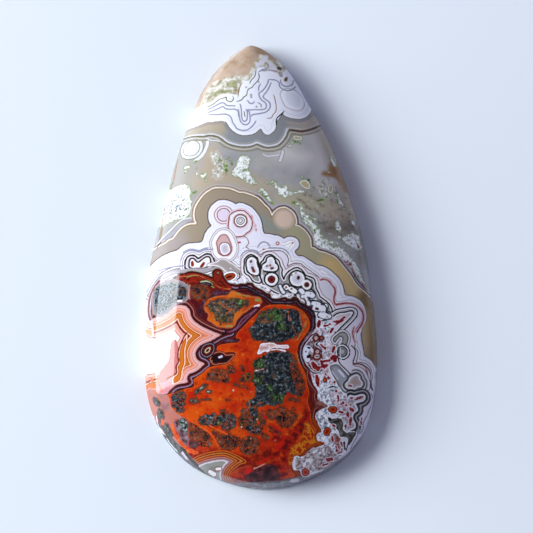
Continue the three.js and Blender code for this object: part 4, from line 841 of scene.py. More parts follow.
grow("latticeSpots", strokes=[(0.13, [5.35, -11.15, 5.55, -11.25]), (0.12, [5.1, -11.65]),
    (0.2, [5.35, -12.25, 5.55, -12.15]), (0.06, [5.1, -13.2, 5.6, -13.75])], bands=[(0, "241012")])
grow("redRings", strokes=[(0.34, [6.35, -10.05]), (0.36, [6.45, -11.65]), (0.36, [6.3, -12.25, 6.5, -12.2]),
    (0.24, [7.05, -10.05])], bands=[(-0.1, "4A0A0A"), (0.04, "A8503A"), (0.1, "3A0C0C"), (0.14, "C8B8C0"),
    (0.26, "2A1412")])
# the pointed finger and its neighbours on the right
grow("fingerRight", areas=[[8.6, -8.9, 8.2, -8.2, 8.6, -7.4, 9.2, -7.05, 10, -6.9, 10.6, -6.75, 10.95, -6.8,
    10.85, -7.15, 9.2, -8.85, 8.7, -9.4]], within={"areas": [[8.3, -6.9, 8.6, -6.2, 10.5, -5.7, 12.2, -6,
    12.2, -8, 10.6, -9.4, 9.3, -10.3, 8.2, -10.5, 8.25, -9.9, 8.75, -9.1, 9.2, -8.5, 9, -7.7, 8.4, -7.4]]},
    bands=[(-0.58, "0A0808"), (-0.42, "F4F2FC"), (-0.27, "84848A"), (-0.2, "F4F2FC"), (-0.15, "0C0A0A"),
    (0.04, "F0EEF6"), (0.2, "C8C0C8"), (0.36, "D8C8CC")])
grow("fingerRightRed", strokes=[(0.09, [8.9, -8.1, 9.5, -7.75, 9.9, -7.5]), (0.1, [8.7, -8.5, 9, -8.35]),
    (0.07, [9.4, -8.2])], ragged=0.08, soft=0.04, bands=[(0, "8A1C16")])
grow("greyFinger", areas=[[8.4, -10.2, 8.75, -9.8, 9.3, -9.35, 9.75, -9.3, 10.1, -9.6, 10.2, -10.1,
    9.7, -11, 9.3, -10.9, 9.5, -10.4, 9.6, -9.95, 9.3, -9.8, 8.9, -10.1, 8.6, -10.5]],
    bands=[(-0.34, "6A5656"), (-0.24, "E4E4EE"), (-0.08, "2A2624"), (0.02, "8C8A8A"), (0.12, "A09E9E")])
grow("hookEye", strokes=[(0.1, [9.2, -10.4, 9, -10.8])], bands=[(-0.05, "C8C8D4"), (0, "1A1614")])
grow("greyOrb", strokes=[(0.55, [9.45, -11.6])], bands=[(-0.43, "0E0C0C"), (-0.28, "F4F4FC"),
    (-0.14, "2A2A2C"), (0, "7E8082"), (0.3, "B4B6B8")])
grow("greyPool", areas=[[7.9, -13.35, 8.8, -13.1, 9.3, -13.5, 9.9, -14.15, 10.2, -14.6, 10, -15.4, 9.9, -16,
    9, -15.8, 8.5, -14.9, 8.1, -14.2], [9, -15.6, 9.9, -16, 10.8, -16.1, 11.3, -16, 10.6, -16.4, 9.8, -16.5,
    9.3, -16.2]], bands=[(-0.12, "F0F1FA"), (0, "585A5E"), (0.14, "8A8C92"), (0.36, "9EA2AE")])
grow("poolStreaks", strokes=[(0.14, [8.95, -13.8, 9.6, -14.5]), (0.09, [8.15, -13.9, 8.5, -14.4,
    8.85, -14.9]), (0.14, [9.1, -10.7, 9.35, -10.35])], soft=0.04, bands=[(0, "DDE0EC")])
grow("beigeOrb", areas=[[9.8, -15.6, 9.9, -15.35, 10.2, -15.1, 10.35, -14.75, 11.05, -14.35, 11.35, -14.5,
    11.45, -14.9, 11.7, -15.2, 11.6, -15.5, 11.1, -15.65, 10.8, -15.85, 10.2, -15.85]],
    bands=[(-1.15, "6E4E50"), (-1.06, "E4E2EC"), (-0.8, "B4B2BE"), (-0.7, "2E2828"), (-0.58, "DAD8E2"),
    (-0.44, "6A6C6C"), (-0.36, "1C1816"), (-0.24, "8A8C8C"), (-0.12, "F0EEF6"), (0.02, "B4ACAE"),
    (0.25, "B49A94")], within={"areas": [[9.2, -15.8, 10.4, -14, 11, -13.1, 11.8, -12.9, 12.6, -13.6,
    12.9, -15, 12.7, -16, 11.5, -16.5, 10.6, -16.3, 9.6, -16.2]]})
grow("orbSeed", strokes=[(0.13, [10.15, -15.55, 10.45, -15.6])], bands=[(-0.1, "F0EEF6"), (-0.02, "7A3A28"),
    (0.06, "8A7A5A")])
grow("knuckle", areas=[[10, -17, 10.3, -16.75, 10.75, -16.85, 11.9, -16.6, 12.05, -16.85, 11.8, -17.2,
    10.7, -17.6, 10.95, -18, 11.05, -18.4, 10.7, -18.6, 10.5, -18.9, 10.45, -19.5, 10.75, -20, 10.7, -20.4,
    10.2, -20.6, 9.8, -20.9, 9.4, -20.7, 9.3, -20.2, 9.5, -19.3]], bands=[(-0.8, "6A6872"),
    (-0.73, "0A0808"), (-0.54, "B0AEBA"), (-0.44, "6A686E"), (-0.36, "080606"), (-0.12, "F2F0FA"),
    (0.02, "D0CED8"), (0.14, "A09CA6")], within={"areas": [[9.9, -15.9, 11.5, -15.9, 12.7, -15.9, 13, -17,
    12.6, -18, 12.2, -19.2, 11.8, -20.5, 11.3, -21.2, 10.4, -21.6, 10, -21.2, 9.6, -21.2, 9.6, -20.4,
    9.8, -19, 9.9, -17]]})
grow("oliveFold", areas=[[7.6, -19.1, 7.9, -19.5, 8.6, -19.35, 9.15, -19.5, 9.35, -20, 9.3, -20.7,
    9.7, -21.05, 10.6, -20.95, 10.9, -21.1, 10.6, -21.5, 10.35, -22, 9.9, -22.3, 9.9, -21.7, 9.4, -21.45,
    9, -21.5, 8.85, -21, 8.5, -20.4, 7.95, -20.05, 7.65, -19.7]], ragged=0.12,
    mottle=("fine", [(0.4, "2E2A26"), (0.48, "5E5C56"), (0.56, "86847C"), (0.66, "A2A2A2")]),
    bands=[(-0.14, "ECEEF6"), (-0.03, "1A1614"), (0.08, "76746E")])
grow("blackEdge", strokes=[(0.14, [9.4, -22.1, 9.45, -22.5, 9.55, -22.9]), (0.09, [10.3, -21.9, 10, -22.4]),
    (0.09, [7.7, -19.4, 8.1, -19.8]), (0.1, [8.45, -20.1, 8.6, -20.5]), (0.09, [9.2, -21.3, 9.8, -21.3])],
    ragged=0.08, bands=[(0, "0E0A0A")])
grow("foldWhite", strokes=[(0.24, [9.35, -21.7, 9.45, -21.75]), (0.07, [10.9, -21.75, 10.4, -22.4,
    10.1, -23.1])], ragged=0.1, bands=[(0, "D6D8E4")])
grow("crimson", strokes=[(0.2, [5.9, -12.95, 6.2, -13.3, 6.5, -13.75]), (0.13, [6.9, -12.75, 7, -13.2,
    7.3, -13.7]), (0.14, [6.35, -14.5, 6.5, -15.1, 6.4, -15.6]), (0.09, [7.6, -14.6, 7.8, -14.9]),
    (0.2, [6.8, -8.1, 6.7, -8.6]), (0.1, [7.9, -9.6, 8.4, -8.9]), (0.1, [7.4, -8.6, 8.1, -8.4]),
    (0.16, [8.5, -11.1, 8.3, -11.6]), (0.2, [8.1, -12.4, 8.6, -12.2, 8.5, -12.7]), (0.12, [7.2, -12.75,
    7.9, -12.7]), (0.15, [7, -13.2, 7.5, -13.3]), (0.13, [7.3, -13.6]), (0.2, [6.35, -14.5, 6.3, -15.3]),
    (0.1, [7.3, -14.2, 7.9, -14.7, 7.9, -15.2]), (0.12, [8.4, -15.2]), (0.12, [8.6, -16.2]),
    (0.1, [8.8, -16.8, 8.85, -17.3]), (0.1, [8.6, -17.65]), (0.13, [9.1, -17.75, 9.4, -17.6]),
    (0.13, [9.75, -17.85]), (0.12, [10.3, -17.7]), (0.14, [10.2, -18.2, 10.6, -18.45]), (0.13, [9.9, -18.6,
    10, -19.2]), (0.16, [10.3, -19.4, 10.2, -20]), (0.13, [9.6, -20.2, 9.65, -20.5]),
    (0.14, [10.4, -17.05]), (0.12, [10.9, -17.15, 11.7, -16.85]), (0.14, [8.9, -8.3, 9.6, -7.85]),
    (0.08, [8.5, -8.1, 9.2, -7.9, 9.9, -7.45]), (0.12, [6.9, -10.9, 7.4, -11.3]), (0.22, [6.1, -13.4,
    6.6, -13.6]), (0.12, [5.6, -12.9, 6.1, -13.6]), (0.12, [8.4, -22.6, 8.55, -23.1]), (0.1, [9.05, -22,
    9.2, -22.6]), (0.08, [9.1, -22.9]), (0.12, [8.3, -20.3, 8.1, -20.2]), (0.1, [8.9, -18.6, 9.3, -18.7]),
    (0.2, [7.4, -24.1, 7.9, -24]), (0.09, [7.1, -22.5]), (0.08, [11.6, -19.3, 11.5, -20]),
    (0.1, [6.9, -24.7, 7.5, -24.5]), (0.1, [8, -21.5, 8.1, -22])], ragged=0.16, soft=0.02,
    mottle=("fine", [(0.42, "82101A"), (0.54, "46060C"), (0.66, "A8341C")]), bands=[(-0.1, "ECE6F0"),
    (-0.03, "A8606A"), (0.02, "82101A")])
grow("redOvals", areas=[[7.6, -18.3, 7.8, -18.1, 8.2, -18.05, 8.55, -18.2, 8.6, -18.45, 8.4, -18.7,
    8.1, -18.75, 7.8, -18.6]], strokes=[(0.34, [7.35, -21, 7.45, -20.8]), (0.38, [4.8, -25.5]),
    (0.2, [7.3, -14.95])], bands=[(-0.09, "4A0E12"), (0.03, "CC480A"), (0.16, "8A1606")])

# Thin lines over the growths
draw("greyLines", colour="9294AA", half=0.08, paths=[[11.3, -20.6, 11, -21.4, 10.5, -22.2, 10.2, -22.9],
    [1.75, 21.9, 1.55, 21.3, 0.9, 20.4, 0.5, 20.1, 0.85, 19.2, 1.2, 18.95, 1.35, 18.6, 1.3, 18.2, 0.9, 18,
    0.25, 18, -0.85, 18], [-5.6, 18.5, -5.05, 18.65, -4.1, 19.1, -3.7, 19.05, -3.45, 18.75, -2.5, 18.6],
    [-5.4, 17.75, -4.5, 17.6, -3.6, 17.6, -3.1, 17.35, -2.85, 16.9, -2.75, 16.5, -2.5, 16.1, -2.3, 15.7,
    -1.95, 15.5, -1.4, 15.4, -0.9, 15.5, -0.2, 16.15, 0, 16.5], [-1.75, 18.7, -1.65, 17.9, -1.6, 16.8,
    -1.35, 16.55, -1.1, 16.65, -0.95, 17.7, -1.05, 18], [-0.85, 19.15, -0.6, 18.85, -0.3, 18.8, -0.1, 19],
    [0.68, 23, 1, 23.25, 1.4, 23.4, 1.7, 23.6, 1.8, 23.95, 1.6, 24.2], [3.2, 21.9, 3.3, 21.4, 3.7, 21.15,
    4.2, 21.2, 4.7, 21.6, 4.8, 22], [-9, 0.7, -8.65, 0.9, -8.2, 1, -7.7, 0.93, -7.1, 0.75, -6.65, 0.92,
    -6.1, 1.02], [1.2, 0.75, 2.5, 0.7, 3.1, 0.45, 3.4, 0.1], [-2.2, -0.1, -2, 0.15, -1.6, 0.45, -0.6, 0.45,
    -0.2, 0.2, 0, -0.05], [12.95, -16.4, 13.05, -17, 12.85, -17.8, 12.5, -18.3, 12.35, -18.9, 12, -19.4,
    11.8, -20, 11.75, -20.6, 11.4, -21], [-11.85, 2.75, -10.45, 2.85, -9.65, 3.65, -8.6, 4.35, -7.85, 4.6],
    [-12, -1.1, -10.3, -0.93, -8.9, -0.95]])
draw("greyLines2", colour="9294AA", half=0.08, paths=[[2, 21.45, 1.75, 20.85, 1.45, 20.35, 1, 19.65,
    1.7, 19, 1.85, 18.6, 1.7, 18.1, 1.3, 17.7, 0.5, 17.5, -0.4, 17.4], [-5.6, 18.1, -5.05, 18.2, -4.4, 18.4,
    -3.85, 18.6, -3.6, 18.35, -3.2, 18.2, -2.4, 18.15, -2.1, 17.9, -2, 17.2], [-2, 18, -1.92, 17.2,
    -1.85, 16.65, -1.6, 16.3, -1.25, 16.1, -0.85, 16.25, -0.65, 16.65, -0.7, 17.7], [2, 21.95, 2.6, 21.9,
    3, 21.6, 3.05, 21.2, 3.2, 20.9, 3.6, 20.65, 4.1, 20.6, 4.6, 20.8, 5, 21.2], [0.7, 21.3, 0.52, 20.9,
    0.5, 20.55], [0.45, 18.85, 0.7, 18.7, 0.75, 18.4], [-9.3, -0.2, -9.05, 0.4, -8.75, 0.65, -8.2, 0.85,
    -7.6, 0.75, -7.1, 0.6, -6.5, 0.8, -5.6, 0.82], [-0.2, 0.9, 0.2, 1.4, 0.6, 1.5, 1, 1.3, 1.2, 1]])
draw("oliveLines", colour="5F643F", half=0.055, paths=[[-2.05, 19.15, -1.5, 19.4, -1.35, 19.7, -1, 19.85,
    -0.9, 20.3, -0.75, 20.7, -0.3, 20.9, -0.05, 21.25, 0.45, 21.8, 0.62, 22.3, 0.58, 22.7], [-5.6, 18.85,
    -5.05, 19.05, -4.25, 19.6, -3.85, 19.7, -3.4, 19.8, -3.45, 19.5, -2.95, 19.15, -2.7, 19.25, -2.55, 19.5,
    -2.6, 19.75], [-1.3, 17.75, -1.28, 17.2], [-6.9, 15.1, -6.3, 15.05, -5.6, 15.1, -5, 14.85], [0.25, 23.1,
    0.1, 22.4, -0.35, 21.85, -0.55, 21.5]])
draw("brownLines", colour="8A6A55", half=0.05, paths=[[2.3, 19.85, 2.4, 19.5, 2.55, 18.1, 2.4, 17.7,
    2.1, 17.3, 1.9, 16.95, 1.5, 16.9], [-1.48, 21.5, -1.7, 21.15, -1.86, 20.67, -2, 19.8], [-13.6, -7.1,
    -13.3, -7.35, -13, -7.6], [-13.6, -7.7, -13.3, -7.95, -12.9, -8], [-13.6, -8.75, -13.2, -9.05,
    -12.5, -9.15], [-13.9, -14.45, -13, -14.45, -12.2, -14.45], [-12.9, -15.4, -12.5, -15.4], [-12.8, -15.8,
    -12.3, -15.85], [-13.8, -13.45, -12.8, -13.4], [-9.5, 12.7, -9.75, 11.7, -10, 10.3], [-11.2, 7,
    -11.5, 5.2, -12.2, 1.6], [-1.8, 2.2, -1.5, 2.05, -1.35, 1.75, -1.25, 1.45, -1.4, 1.15, -1.6, 0.95,
    -1.35, 0.75], [-12.4, -3, -12.75, -4, -12.9, -5, -12.8, -6, -12.9, -6.8]])
draw("blackLines", colour="161412", half=0.07, paths=[[10.95, -20.3, 10.8, -21, 9.9, -22.3, 9.7, -23],
    [6.1, -5.55, 6.9, -5.75, 7.5, -6.1, 7.75, -6.5, 7.65, -6.9, 7.95, -7.15], [3.4, 17.75, 3.2, 17.5,
    2.75, 17.1, 2.5, 16.7, 2.5, 16.2], [8.95, -11.2, 8.9, -12, 9.05, -12.9, 9.5, -13.4, 10.3, -14.15],
    [10.65, -10.9, 11, -11.3, 11, -12, 10.75, -12.6, 10.7, -13], [12.75, -15.55, 12.95, -15.8, 13.2, -16.1],
    [10.7, -13, 11.3, -12.95, 12, -13.1, 12.65, -13.55, 12.9, -14.3, 12.8, -15.5], [-2.45, -2.3, -2.4, -2.7,
    -2.7, -2.95], [7.75, -15.85, 8, -15.75, 8.3, -15.7], [-12.05, 2.1, -11.7, 2.4], [11.1, -2, 11.5, -2.7,
    12, -3.3, 12.7, -3.9]])
# white lines in the stone; the last two paths, along the lower-left shoulder, are a painted highlight
draw("whiteLines", colour="DCDDE8", half=0.05, paths=[[12.95, -13.9, 13, -14.9, 13.2, -16, 12.7, -18.6,
    12.3, -19.6, 11.9, -20.6, 10.7, -22.1], [9.25, -11.2, 9.2, -12, 9.35, -12.7, 9.8, -13.2, 10.35, -13.8],
    [0.85, 12.3, 1.2, 12.1, 2.6, 12.25], [-5.85, 14.7, -5.5, 14.45, -5, 14.35, -4.5, 14.2], [-12.1, 2.4,
    -11.3, 3.1, -10.9, 3.35, -10.2, 3.9, -9.9, 4.2, -8.95, 4.78, -8.1, 4.88], [-12.65, -18.5, -12.55, -19.4,
    -12.15, -20.2, -11.8, -20.6], [-11.45, -21.2, -11, -21.9, -10.3, -22.7]])


# How deep each point of the stone's skin lies in each growth
growth = {
    "reach": 1.3,  # mm, the furthest depth that is kept, unless the layer says more
    "ragged": 0.045,  # how uneven a growth's outline is, unless its layer says more
    "perSpan": 4,  # steps of a curve between two of its points
    "wallDrift": (-0.072, -0.12),  # how far the lace runs askew per mm down the wall
    "bendFrom": 2.6,  # mm below the dome: from here down to the back the lace winds
    "bendTo": 6.3,
    "bend": 0.35,  # mm per mm
    "bendWaves": (0.31, 0.37),  # radians per mm along and across
    "bendStarts": (1, 2),
    "maskReach": 0.5,  # mm, the furthest depth that is kept where a layer stays within areas
    "lineField": 1.0,  # mm, the furthest that is kept from a thin line
    "lineReach": 0.24,  # mm past a thin line's end where its drawing stops
}


def reachOf(layer):
    return layer.get("reach", growth["reach"])


def measure(spots, curve, closed, reach):
    # how far each spot is from the curve, and on which side; the spots go up by y
    starts = curve if closed else curve[:-1]
    ends = np.roll(curve, -1, 0) if closed else curve[1:]
    best = np.full(len(spots), reach * reach)
    side = np.zeros(len(spots))
    inside = np.zeros(len(spots), bool)
    rows = spots[:, 1]
    for (ax, ay), (bx, by) in zip(starts, ends):
        low, high = min(ay, by), max(ay, by)
        first, last = np.searchsorted(rows, (low - reach, high + reach))
        near = slice(first, last)
        dx, dy = bx - ax, by - ay
        px, py = spots[near, 0] - ax, rows[near] - ay
        along = np.clip((px * dx + py * dy) / max(dx * dx + dy * dy, 1e-12), 0, 1)
        squared = (px - dx * along) ** 2 + (py - dy * along) ** 2
        closer = squared < best[near]
        best[near][closer] = squared[closer]
        if closed and low < high:
            first, last = np.searchsorted(rows, (low, high))
            level = slice(first, last)
            inside[level] ^= spots[level, 0] - ax < dx * (rows[level] - ay) / dy
        elif not closed:
            side[near][closer] = np.sign(dx * py - dy * px)[closer]
    if closed:
        side = np.where(inside, 1.0, -1.0)
    return np.sqrt(best), side


def curveOf(flat, closed):
    # two points are joined by a straight line, and one point is a dot, as good as no length
    if closed or len(flat) > 4:
        return smoothCurve(flat, closed, growth["perSpan"])
    knots = np.array(flat, float).reshape(-1, 2)
    return knots if len(knots) > 1 else np.vstack([knots, knots + 1e-4])


def depthIn(layer, spots, reach):
    depth = np.full(len(spots), -reach)
    for flat in layer.get("areas", []):
        distance, side = measure(spots, curveOf(flat, True), True, reach)
        depth = np.maximum(depth, distance * side)
    for half, flat in layer.get("strokes", []):
        distance, side = measure(spots, curveOf(flat, False), False, reach + half)
        depth = np.maximum(depth, half - distance)
    return depth


def lineFields(line, spots):
    # how far each spot is across from the nearest line, and how far it is from running past its end
    nearest = np.full(len(spots), growth["lineField"])
    across = nearest.copy()
    for flat in line["paths"]:
        distance, side = measure(spots, curveOf(flat, False), False, growth["lineField"])
        closer = distance < nearest
        nearest[closer] = distance[closer]
        across[closer] = (distance * side)[closer]
    return across, growth["lineReach"] - nearest


def skinSpots(mesh):
    # where each vertex reads the drawing: straight below on the dome, adrift on the wall and back
    co = np.zeros(len(mesh.vertices) * 3)
    mesh.vertices.foreach_get("co", co)
    co = co.reshape(-1, 3) / millimetre
    x, y = co[:, 0] + shift[0], co[:, 1] + shift[1]
    angle = np.arctan2(y - middle[1], x - middle[0])
    edge = np.linalg.norm(pointAt(shoulder, angle) - middle, axis=1)
    share = np.minimum(1, np.hypot(x - middle[0], y - middle[1]) / edge)
    below = domeHeight(x, y, share) - co[:, 2]
    bend = np.clip(below - growth["bendFrom"], 0, growth["bendTo"] - growth["bendFrom"]) * growth["bend"]
    below = np.clip(below, 0, None)
    drift, waves, starts = growth["wallDrift"], growth["bendWaves"], growth["bendStarts"]
    x = x + below * drift[0] + bend * np.sin(y * waves[0] + starts[0])
    y = y + below * drift[1] + bend * np.sin(x * waves[1] + starts[1])
    return np.column_stack([x, y])


spots = skinSpots(stoneMesh)
upwards = np.argsort(spots[:, 1], kind="stable")
spots = spots[upwards]


def keepField(name, values):
    # a mesh attribute, back in the order of the vertices
    unsorted = np.empty(len(values), np.float32)
    unsorted[upwards] = values
    attribute = stoneMesh.attributes.new(name, "FLOAT", "POINT")
    attribute.data.foreach_set("value", unsorted)


for layer in layers:
    if "depthOf" not in layer:
        keepField(layer["name"], depthIn(layer, spots, reachOf(layer)))
    if isinstance(layer.get("within"), dict):
        keepField(layer["name"] + "Mask", depthIn(layer["within"], spots, growth["maskReach"]))
for line in lines:
    across, reach = lineFields(line, spots)
    keepField(line["name"], across)
    keepField(line["name"] + "Reach", reach)
print("growths", len(layers), "lines", len(lines))


agateLook = {
    "roughness": 0.07,
    "ior": 1.54,
    "base": [(0.35, "929296"), (0.5, "9E9EA0"), (0.65, "A7A5A2")],
    # size of each cloudy texture's grain in mm, and its detail
    "clouds": {"wobble": (0.45, 3), "grain": (0.32, 3), "fine": (0.7, 3), "coarse": (2.6, 4)},
    "cloudRoughness": 0.6,
    # size in mm of the cells that the cracks run between
    "cracks": {"net": 0.95},
    # how the cells are bent: by this many mm, with this much detail in a wave of this many per mm
    "crackBend": (1.5, 2, 1.6),
    "raggedGain": 3,  # for the wobble, which keeps well within half a unit of its middle
    # all of these are in mm
    "bandSoft": 0.025,  # how far a band's edge is soft to each side, unless its layer says more
    "body": (0.03, 0.16),  # depth at which the mottling starts and at which it is whole
    "maskSoft": 0.05,
    "lineRagged": 0.1,
    "lineSoft": (0.035, 0.025),  # outside and inside a thin line's edge
    "lineEnd": 0.06,
}
smooth = {"interpolation_type": "SMOOTHSTEP", "clamp": False}


def bandStops(bands, soft, reach):
    # each band starts at its depth and runs to the next; outside the first the layer is bare
    stops = [(0.0, bands[0][1], 0)]
    for depth, shade in bands:
        before = stops[-1]
        stops.append((max(0, 0.5 + (depth - soft) * 0.5 / reach), before[1], before[2]))
        stops.append((min(1, 0.5 + (depth + soft) * 0.5 / reach), shade, 1))
    return stops


def startGroup(name):
    group = bpy.data.node_groups.new(name, "ShaderNodeTree")
    group.interface.new_socket(name="Colour", in_out="INPUT", socket_type="NodeSocketColor")
    group.interface.new_socket(name="Wobble", in_out="INPUT", socket_type="NodeSocketFloat")
    group.interface.new_socket(name="Flecks", in_out="INPUT", socket_type="NodeSocketFloat")
    group.interface.new_socket(name="Colour", in_out="OUTPUT", socket_type="NodeSocketColor")
    return group, addNode(group, "NodeGroupInput", {}, {}).outputs


def growthGroup(layer):
    # one growth painted over what lies under it, in bands by its depth
    group, given = startGroup("Growth " + layer["name"])
    reach = reachOf(layer)
    depth = addNode(group, "ShaderNodeAttribute", {"attribute_name": layer.get("depthOf", layer["name"])}, {})
    wobbled = addNode(group, "ShaderNodeMath", {"operation": "MULTIPLY_ADD"}, {
        0: given["Wobble"], 1: agateLook["raggedGain"] * layer.get("ragged", growth["ragged"]),
        2: depth.outputs["Fac"]})
    wobbled = wobbled.outputs["Value"]
    # the ramp's middle is at depth 0, and its ends are at the reach
    share = addNode(group, "ShaderNodeMath", {"operation": "MULTIPLY_ADD"}, {
        0: wobbled, 1: 0.5 / reach, 2: 0.5}).outputs["Value"]
    stops = bandStops(layer["bands"], layer.get("soft", agateLook["bandSoft"]), reach)
    ramp = addNode(group, "ShaderNodeValToRGB", {"stops": stops}, {"Fac": share})
    painted = ramp.outputs["Color"]
    cover = ramp.outputs["Alpha"]
    if "mottle" in layer:
        # the mottling fills the body of the growth and leaves its rim clean
        flecks = addNode(group, "ShaderNodeValToRGB", {"stops": layer["mottle"][1]}, {"Fac": given["Flecks"]})
        body = addNode(group, "ShaderNodeMapRange", smooth, {
            "Value": wobbled, "From Min": agateLook["body"][0], "From Max": agateLook["body"][1]})
        painted = addNode(group, "ShaderNodeMix", {"data_type": "RGBA"}, {
            0: body.outputs["Result"], 6: painted, 7: flecks.outputs["Color"]}).outputs[2]
        if layer.get("sparse"):
            cover = addNode(group, "ShaderNodeMath", {"operation": "MULTIPLY"}, {
                0: cover, 1: flecks.outputs["Alpha"]}).outputs["Value"]
    if "within" in layer:
        maskName = layer["within"] if isinstance(layer["within"], str) else layer["name"] + "Mask"
        mask = addNode(group, "ShaderNodeAttribute", {"attribute_name": maskName}, {})
        inMask = addNode(group, "ShaderNodeMapRange", smooth, {
            "Value": mask.outputs["Fac"],
            "From Min": -agateLook["maskSoft"], "From Max": agateLook["maskSoft"]})
        cover = addNode(group, "ShaderNodeMath", {"operation": "MULTIPLY"}, {
            0: cover, 1: inMask.outputs["Result"]}).outputs["Value"]
    mixed = addNode(group, "ShaderNodeMix", {"data_type": "RGBA"}, {0: cover, 6: given["Colour"], 7: painted})
    addNode(group, "NodeGroupOutput", {}, {"Colour": mixed.outputs[2]})
    return group


def lineGroup(line):
    # thin lines of one colour, cut off where they end
    group, given = startGroup("Lines " + line["name"])
    across = addNode(group, "ShaderNodeAttribute", {"attribute_name": line["name"]}, {})
    wobbled = addNode(group, "ShaderNodeMath", {"operation": "MULTIPLY_ADD"}, {
        0: given["Wobble"], 1: agateLook["lineRagged"], 2: across.outputs["Fac"]})
    distance = addNode(group, "ShaderNodeMath", {"operation": "ABSOLUTE"}, {0: wobbled.outputs["Value"]})
    outside, inside = agateLook["lineSoft"]
    drawn = addNode(group, "ShaderNodeMapRange", smooth, {
        "Value": distance.outputs["Value"],
        "From Min": line["half"] + outside, "From Max": line["half"] - inside})
    reach = addNode(group, "ShaderNodeAttribute", {"attribute_name": line["name"] + "Reach"}, {})
    ends = addNode(group, "ShaderNodeMapRange", smooth, {
        "Value": reach.outputs["Fac"], "From Min": 0, "From Max": agateLook["lineEnd"]})
    cover = addNode(group, "ShaderNodeMath", {"operation": "MULTIPLY"}, {
        0: drawn.outputs["Result"], 1: ends.outputs["Result"]})
    mixed = addNode(group, "ShaderNodeMix", {"data_type": "RGBA"}, {
        0: cover.outputs["Value"], 6: given["Colour"], 7: toLinear(line["colour"])})
    addNode(group, "NodeGroupOutput", {}, {"Colour": mixed.outputs[2]})
    return group


def makeAgate():
    # polished chalcedony and jasper: a glassy skin over opaque, sharply banded colour
    material = bpy.data.materials.new("Polished lace agate")
    material.use_nodes = True
    tree = material.node_tree
    tree.nodes.clear()
    coordinates = addNode(tree, "ShaderNodeTexCoord", {}, {})
    inMillimetres = addNode(tree, "ShaderNodeMapping", {}, {
        "Vector": coordinates.outputs["Object"], "Scale": [1 / millimetre] * 3})
    textures = {}
    for name, (size, detail) in agateLook["clouds"].items():
        textures[name] = addNode(tree, "ShaderNodeTexNoise", {}, {
            "Vector": inMillimetres.outputs["Vector"], "Scale": 1 / size, "Detail": detail,
            "Roughness": agateLook["cloudRoughness"]}).outputs["Fac"]
    bendBy, bendDetail, bendWaves = agateLook["crackBend"]
    bend = addNode(tree, "ShaderNodeTexNoise", {}, {
        "Vector": inMillimetres.outputs["Vector"], "Scale": bendWaves, "Detail": bendDetail})
    bent = addNode(tree, "ShaderNodeVectorMath", {"operation": "MULTIPLY_ADD"}, {
        0: bend.outputs["Color"], 1: [bendBy] * 3, 2: inMillimetres.outputs["Vector"]})
    for name, size in agateLook["cracks"].items():
        textures[name] = addNode(tree, "ShaderNodeTexVoronoi", {"feature": "DISTANCE_TO_EDGE"}, {
            "Vector": bent.outputs["Vector"], "Scale": 1 / size}).outputs["Distance"]
    # the noise lies round a half, and the wobble that makes outlines ragged round nought
    wobble = addNode(tree, "ShaderNodeMath", {"operation": "SUBTRACT"}, {0: textures["wobble"], 1: 0.5})
    ground = addNode(tree, "ShaderNodeValToRGB", {"stops": agateLook["base"]}, {"Fac": textures["coarse"]})
    colour = ground.outputs["Color"]
    for layer in layers:
        flecks = textures[layer["mottle"][0]] if "mottle" in layer else textures["fine"]
        colour = addNode(tree, "ShaderNodeGroup", {"node_tree": growthGroup(layer)}, {
            "Colour": colour, "Wobble": wobble.outputs["Value"], "Flecks": flecks}).outputs["Colour"]
    for line in lines:
        colour = addNode(tree, "ShaderNodeGroup", {"node_tree": lineGroup(line)}, {
            "Colour": colour, "Wobble": wobble.outputs["Value"]}).outputs["Colour"]
    shader = addNode(tree, "ShaderNodeBsdfPrincipled", {}, {
        "Base Color": colour, "Roughness": agateLook["roughness"], "IOR": agateLook["ior"]})
    addNode(tree, "ShaderNodeOutputMaterial", {}, {"Surface": shader.outputs["BSDF"]})
    return material


stoneObject = bpy.data.objects.new("lace_agate", stoneMesh)
bpy.context.scene.collection.objects.link(stoneObject)
stoneMesh.materials.append(makeAgate())
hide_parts("agate_cabochon")
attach(stoneObject, "root")
print("agate painted")


# The floor, the light and the camera, in metres
setting = {
    "floorColour": "E9F0F8",
    "floorRoughness": 0.85,
    "floorSize": 3.0,
    "aim": (0.00102, -0.000275, 0.0),
    "distance": 0.26,
    "tiltDown": math.radians(11),  # from straight above towards the foot
    "tiltLeft": math.radians(2.5),
    "roll": math.radians(1.6),
    "spanAtAim": 0.0643,  # what the picture's width takes in
    "sensor": 36,  # mm
    "nearest": 0.01,
    "worldColour": "E0E0FF",
    "wallStrength": 0.5,
    "ceilingStrength": 0.12,
    "ceiling": (0.5, 0.8),  # share of the way up where the walls end and the ceiling is whole
    # the window's reflection is the pale wash down the left flank; the softbox shows in no reflection
    "window": {"place": (-0.556, 0.071, 0.215), "size": (0.239, 0.46), "watts": 2.9, "mirrored": True},
    "softbox": {"place": (-0.62, 0.166, 0.386), "size": (0.6, 0.45), "watts": 6.2, "mirrored": False},
    "lightColour": "F8FDFF",
}

bpy.ops.mesh.primitive_plane_add(size=setting["floorSize"], location=(0, 0, 0))
floor = bpy.context.object
floor.name = "floor"
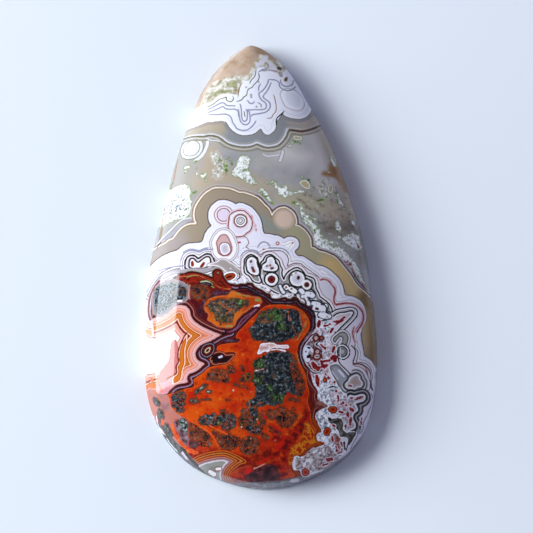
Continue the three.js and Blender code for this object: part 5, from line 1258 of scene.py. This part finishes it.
# matt paper: no shine, so only the stone's soft shadow shows on it
floorMaterial = bpy.data.materials.new("Matt pale paper")
floorMaterial.use_nodes = True
paper = floorMaterial.node_tree.nodes["Principled BSDF"]
paper.inputs["Base Color"].default_value = toLinear(setting["floorColour"])
paper.inputs["Roughness"].default_value = setting["floorRoughness"]
floor.data.materials.append(floorMaterial)


for name in ("window", "softbox"):
    light = setting[name]
    lamp = bpy.data.lights.new(name, "AREA")
    lamp.shape = "RECTANGLE"
    lamp.size, lamp.size_y = light["size"]
    lamp.energy = light["watts"]
    lamp.color = toLinear(setting["lightColour"])[:3]
    holder = bpy.data.objects.new(name, lamp)
    holder.location = light["place"]
    holder.rotation_euler = (-Vector(light["place"])).to_track_quat("-Z", "Y").to_euler()
    holder.visible_glossy = light["mirrored"]
    bpy.context.scene.collection.objects.link(holder)

world = bpy.data.worlds.new("Pale room")
world.use_nodes = True
# pale walls under a dark ceiling
sky = addNode(world.node_tree, "ShaderNodeTexCoord", {}, {})
height = addNode(world.node_tree, "ShaderNodeSeparateXYZ", {}, {"Vector": sky.outputs["Generated"]})
strength = addNode(world.node_tree, "ShaderNodeMapRange", smooth, {
    "Value": height.outputs["Z"], "From Min": setting["ceiling"][0], "From Max": setting["ceiling"][1],
    "To Min": setting["wallStrength"], "To Max": setting["ceilingStrength"]})
background = world.node_tree.nodes["Background"]
background.inputs["Color"].default_value = toLinear(setting["worldColour"])
world.node_tree.links.new(background.inputs["Strength"], strength.outputs["Result"])
bpy.context.scene.world = world
bpy.context.scene.view_settings.view_transform = "Standard"

# the camera looks down on the stone, a little from its foot and its left, as the photo does
back = Vector((-math.tan(setting["tiltLeft"]), -math.tan(setting["tiltDown"]), 1)).normalized()
upHint = Vector((math.sin(setting["roll"]), math.cos(setting["roll"]), 0))
right = upHint.cross(back).normalized()
up = back.cross(right)
cameraData = bpy.data.cameras.new("camera")
cameraData.sensor_width = setting["sensor"]
cameraData.lens = setting["sensor"] * setting["distance"] / setting["spanAtAim"]
cameraData.clip_start = setting["nearest"]
camera = bpy.data.objects.new("camera", cameraData)
camera.location = Vector(setting["aim"]) + back * setting["distance"]
camera.rotation_euler = Matrix((right, up, back)).transposed().to_euler()
bpy.context.scene.collection.objects.link(camera)
bpy.context.scene.camera = camera

bpy.context.view_layer.update()
print("scene ready")
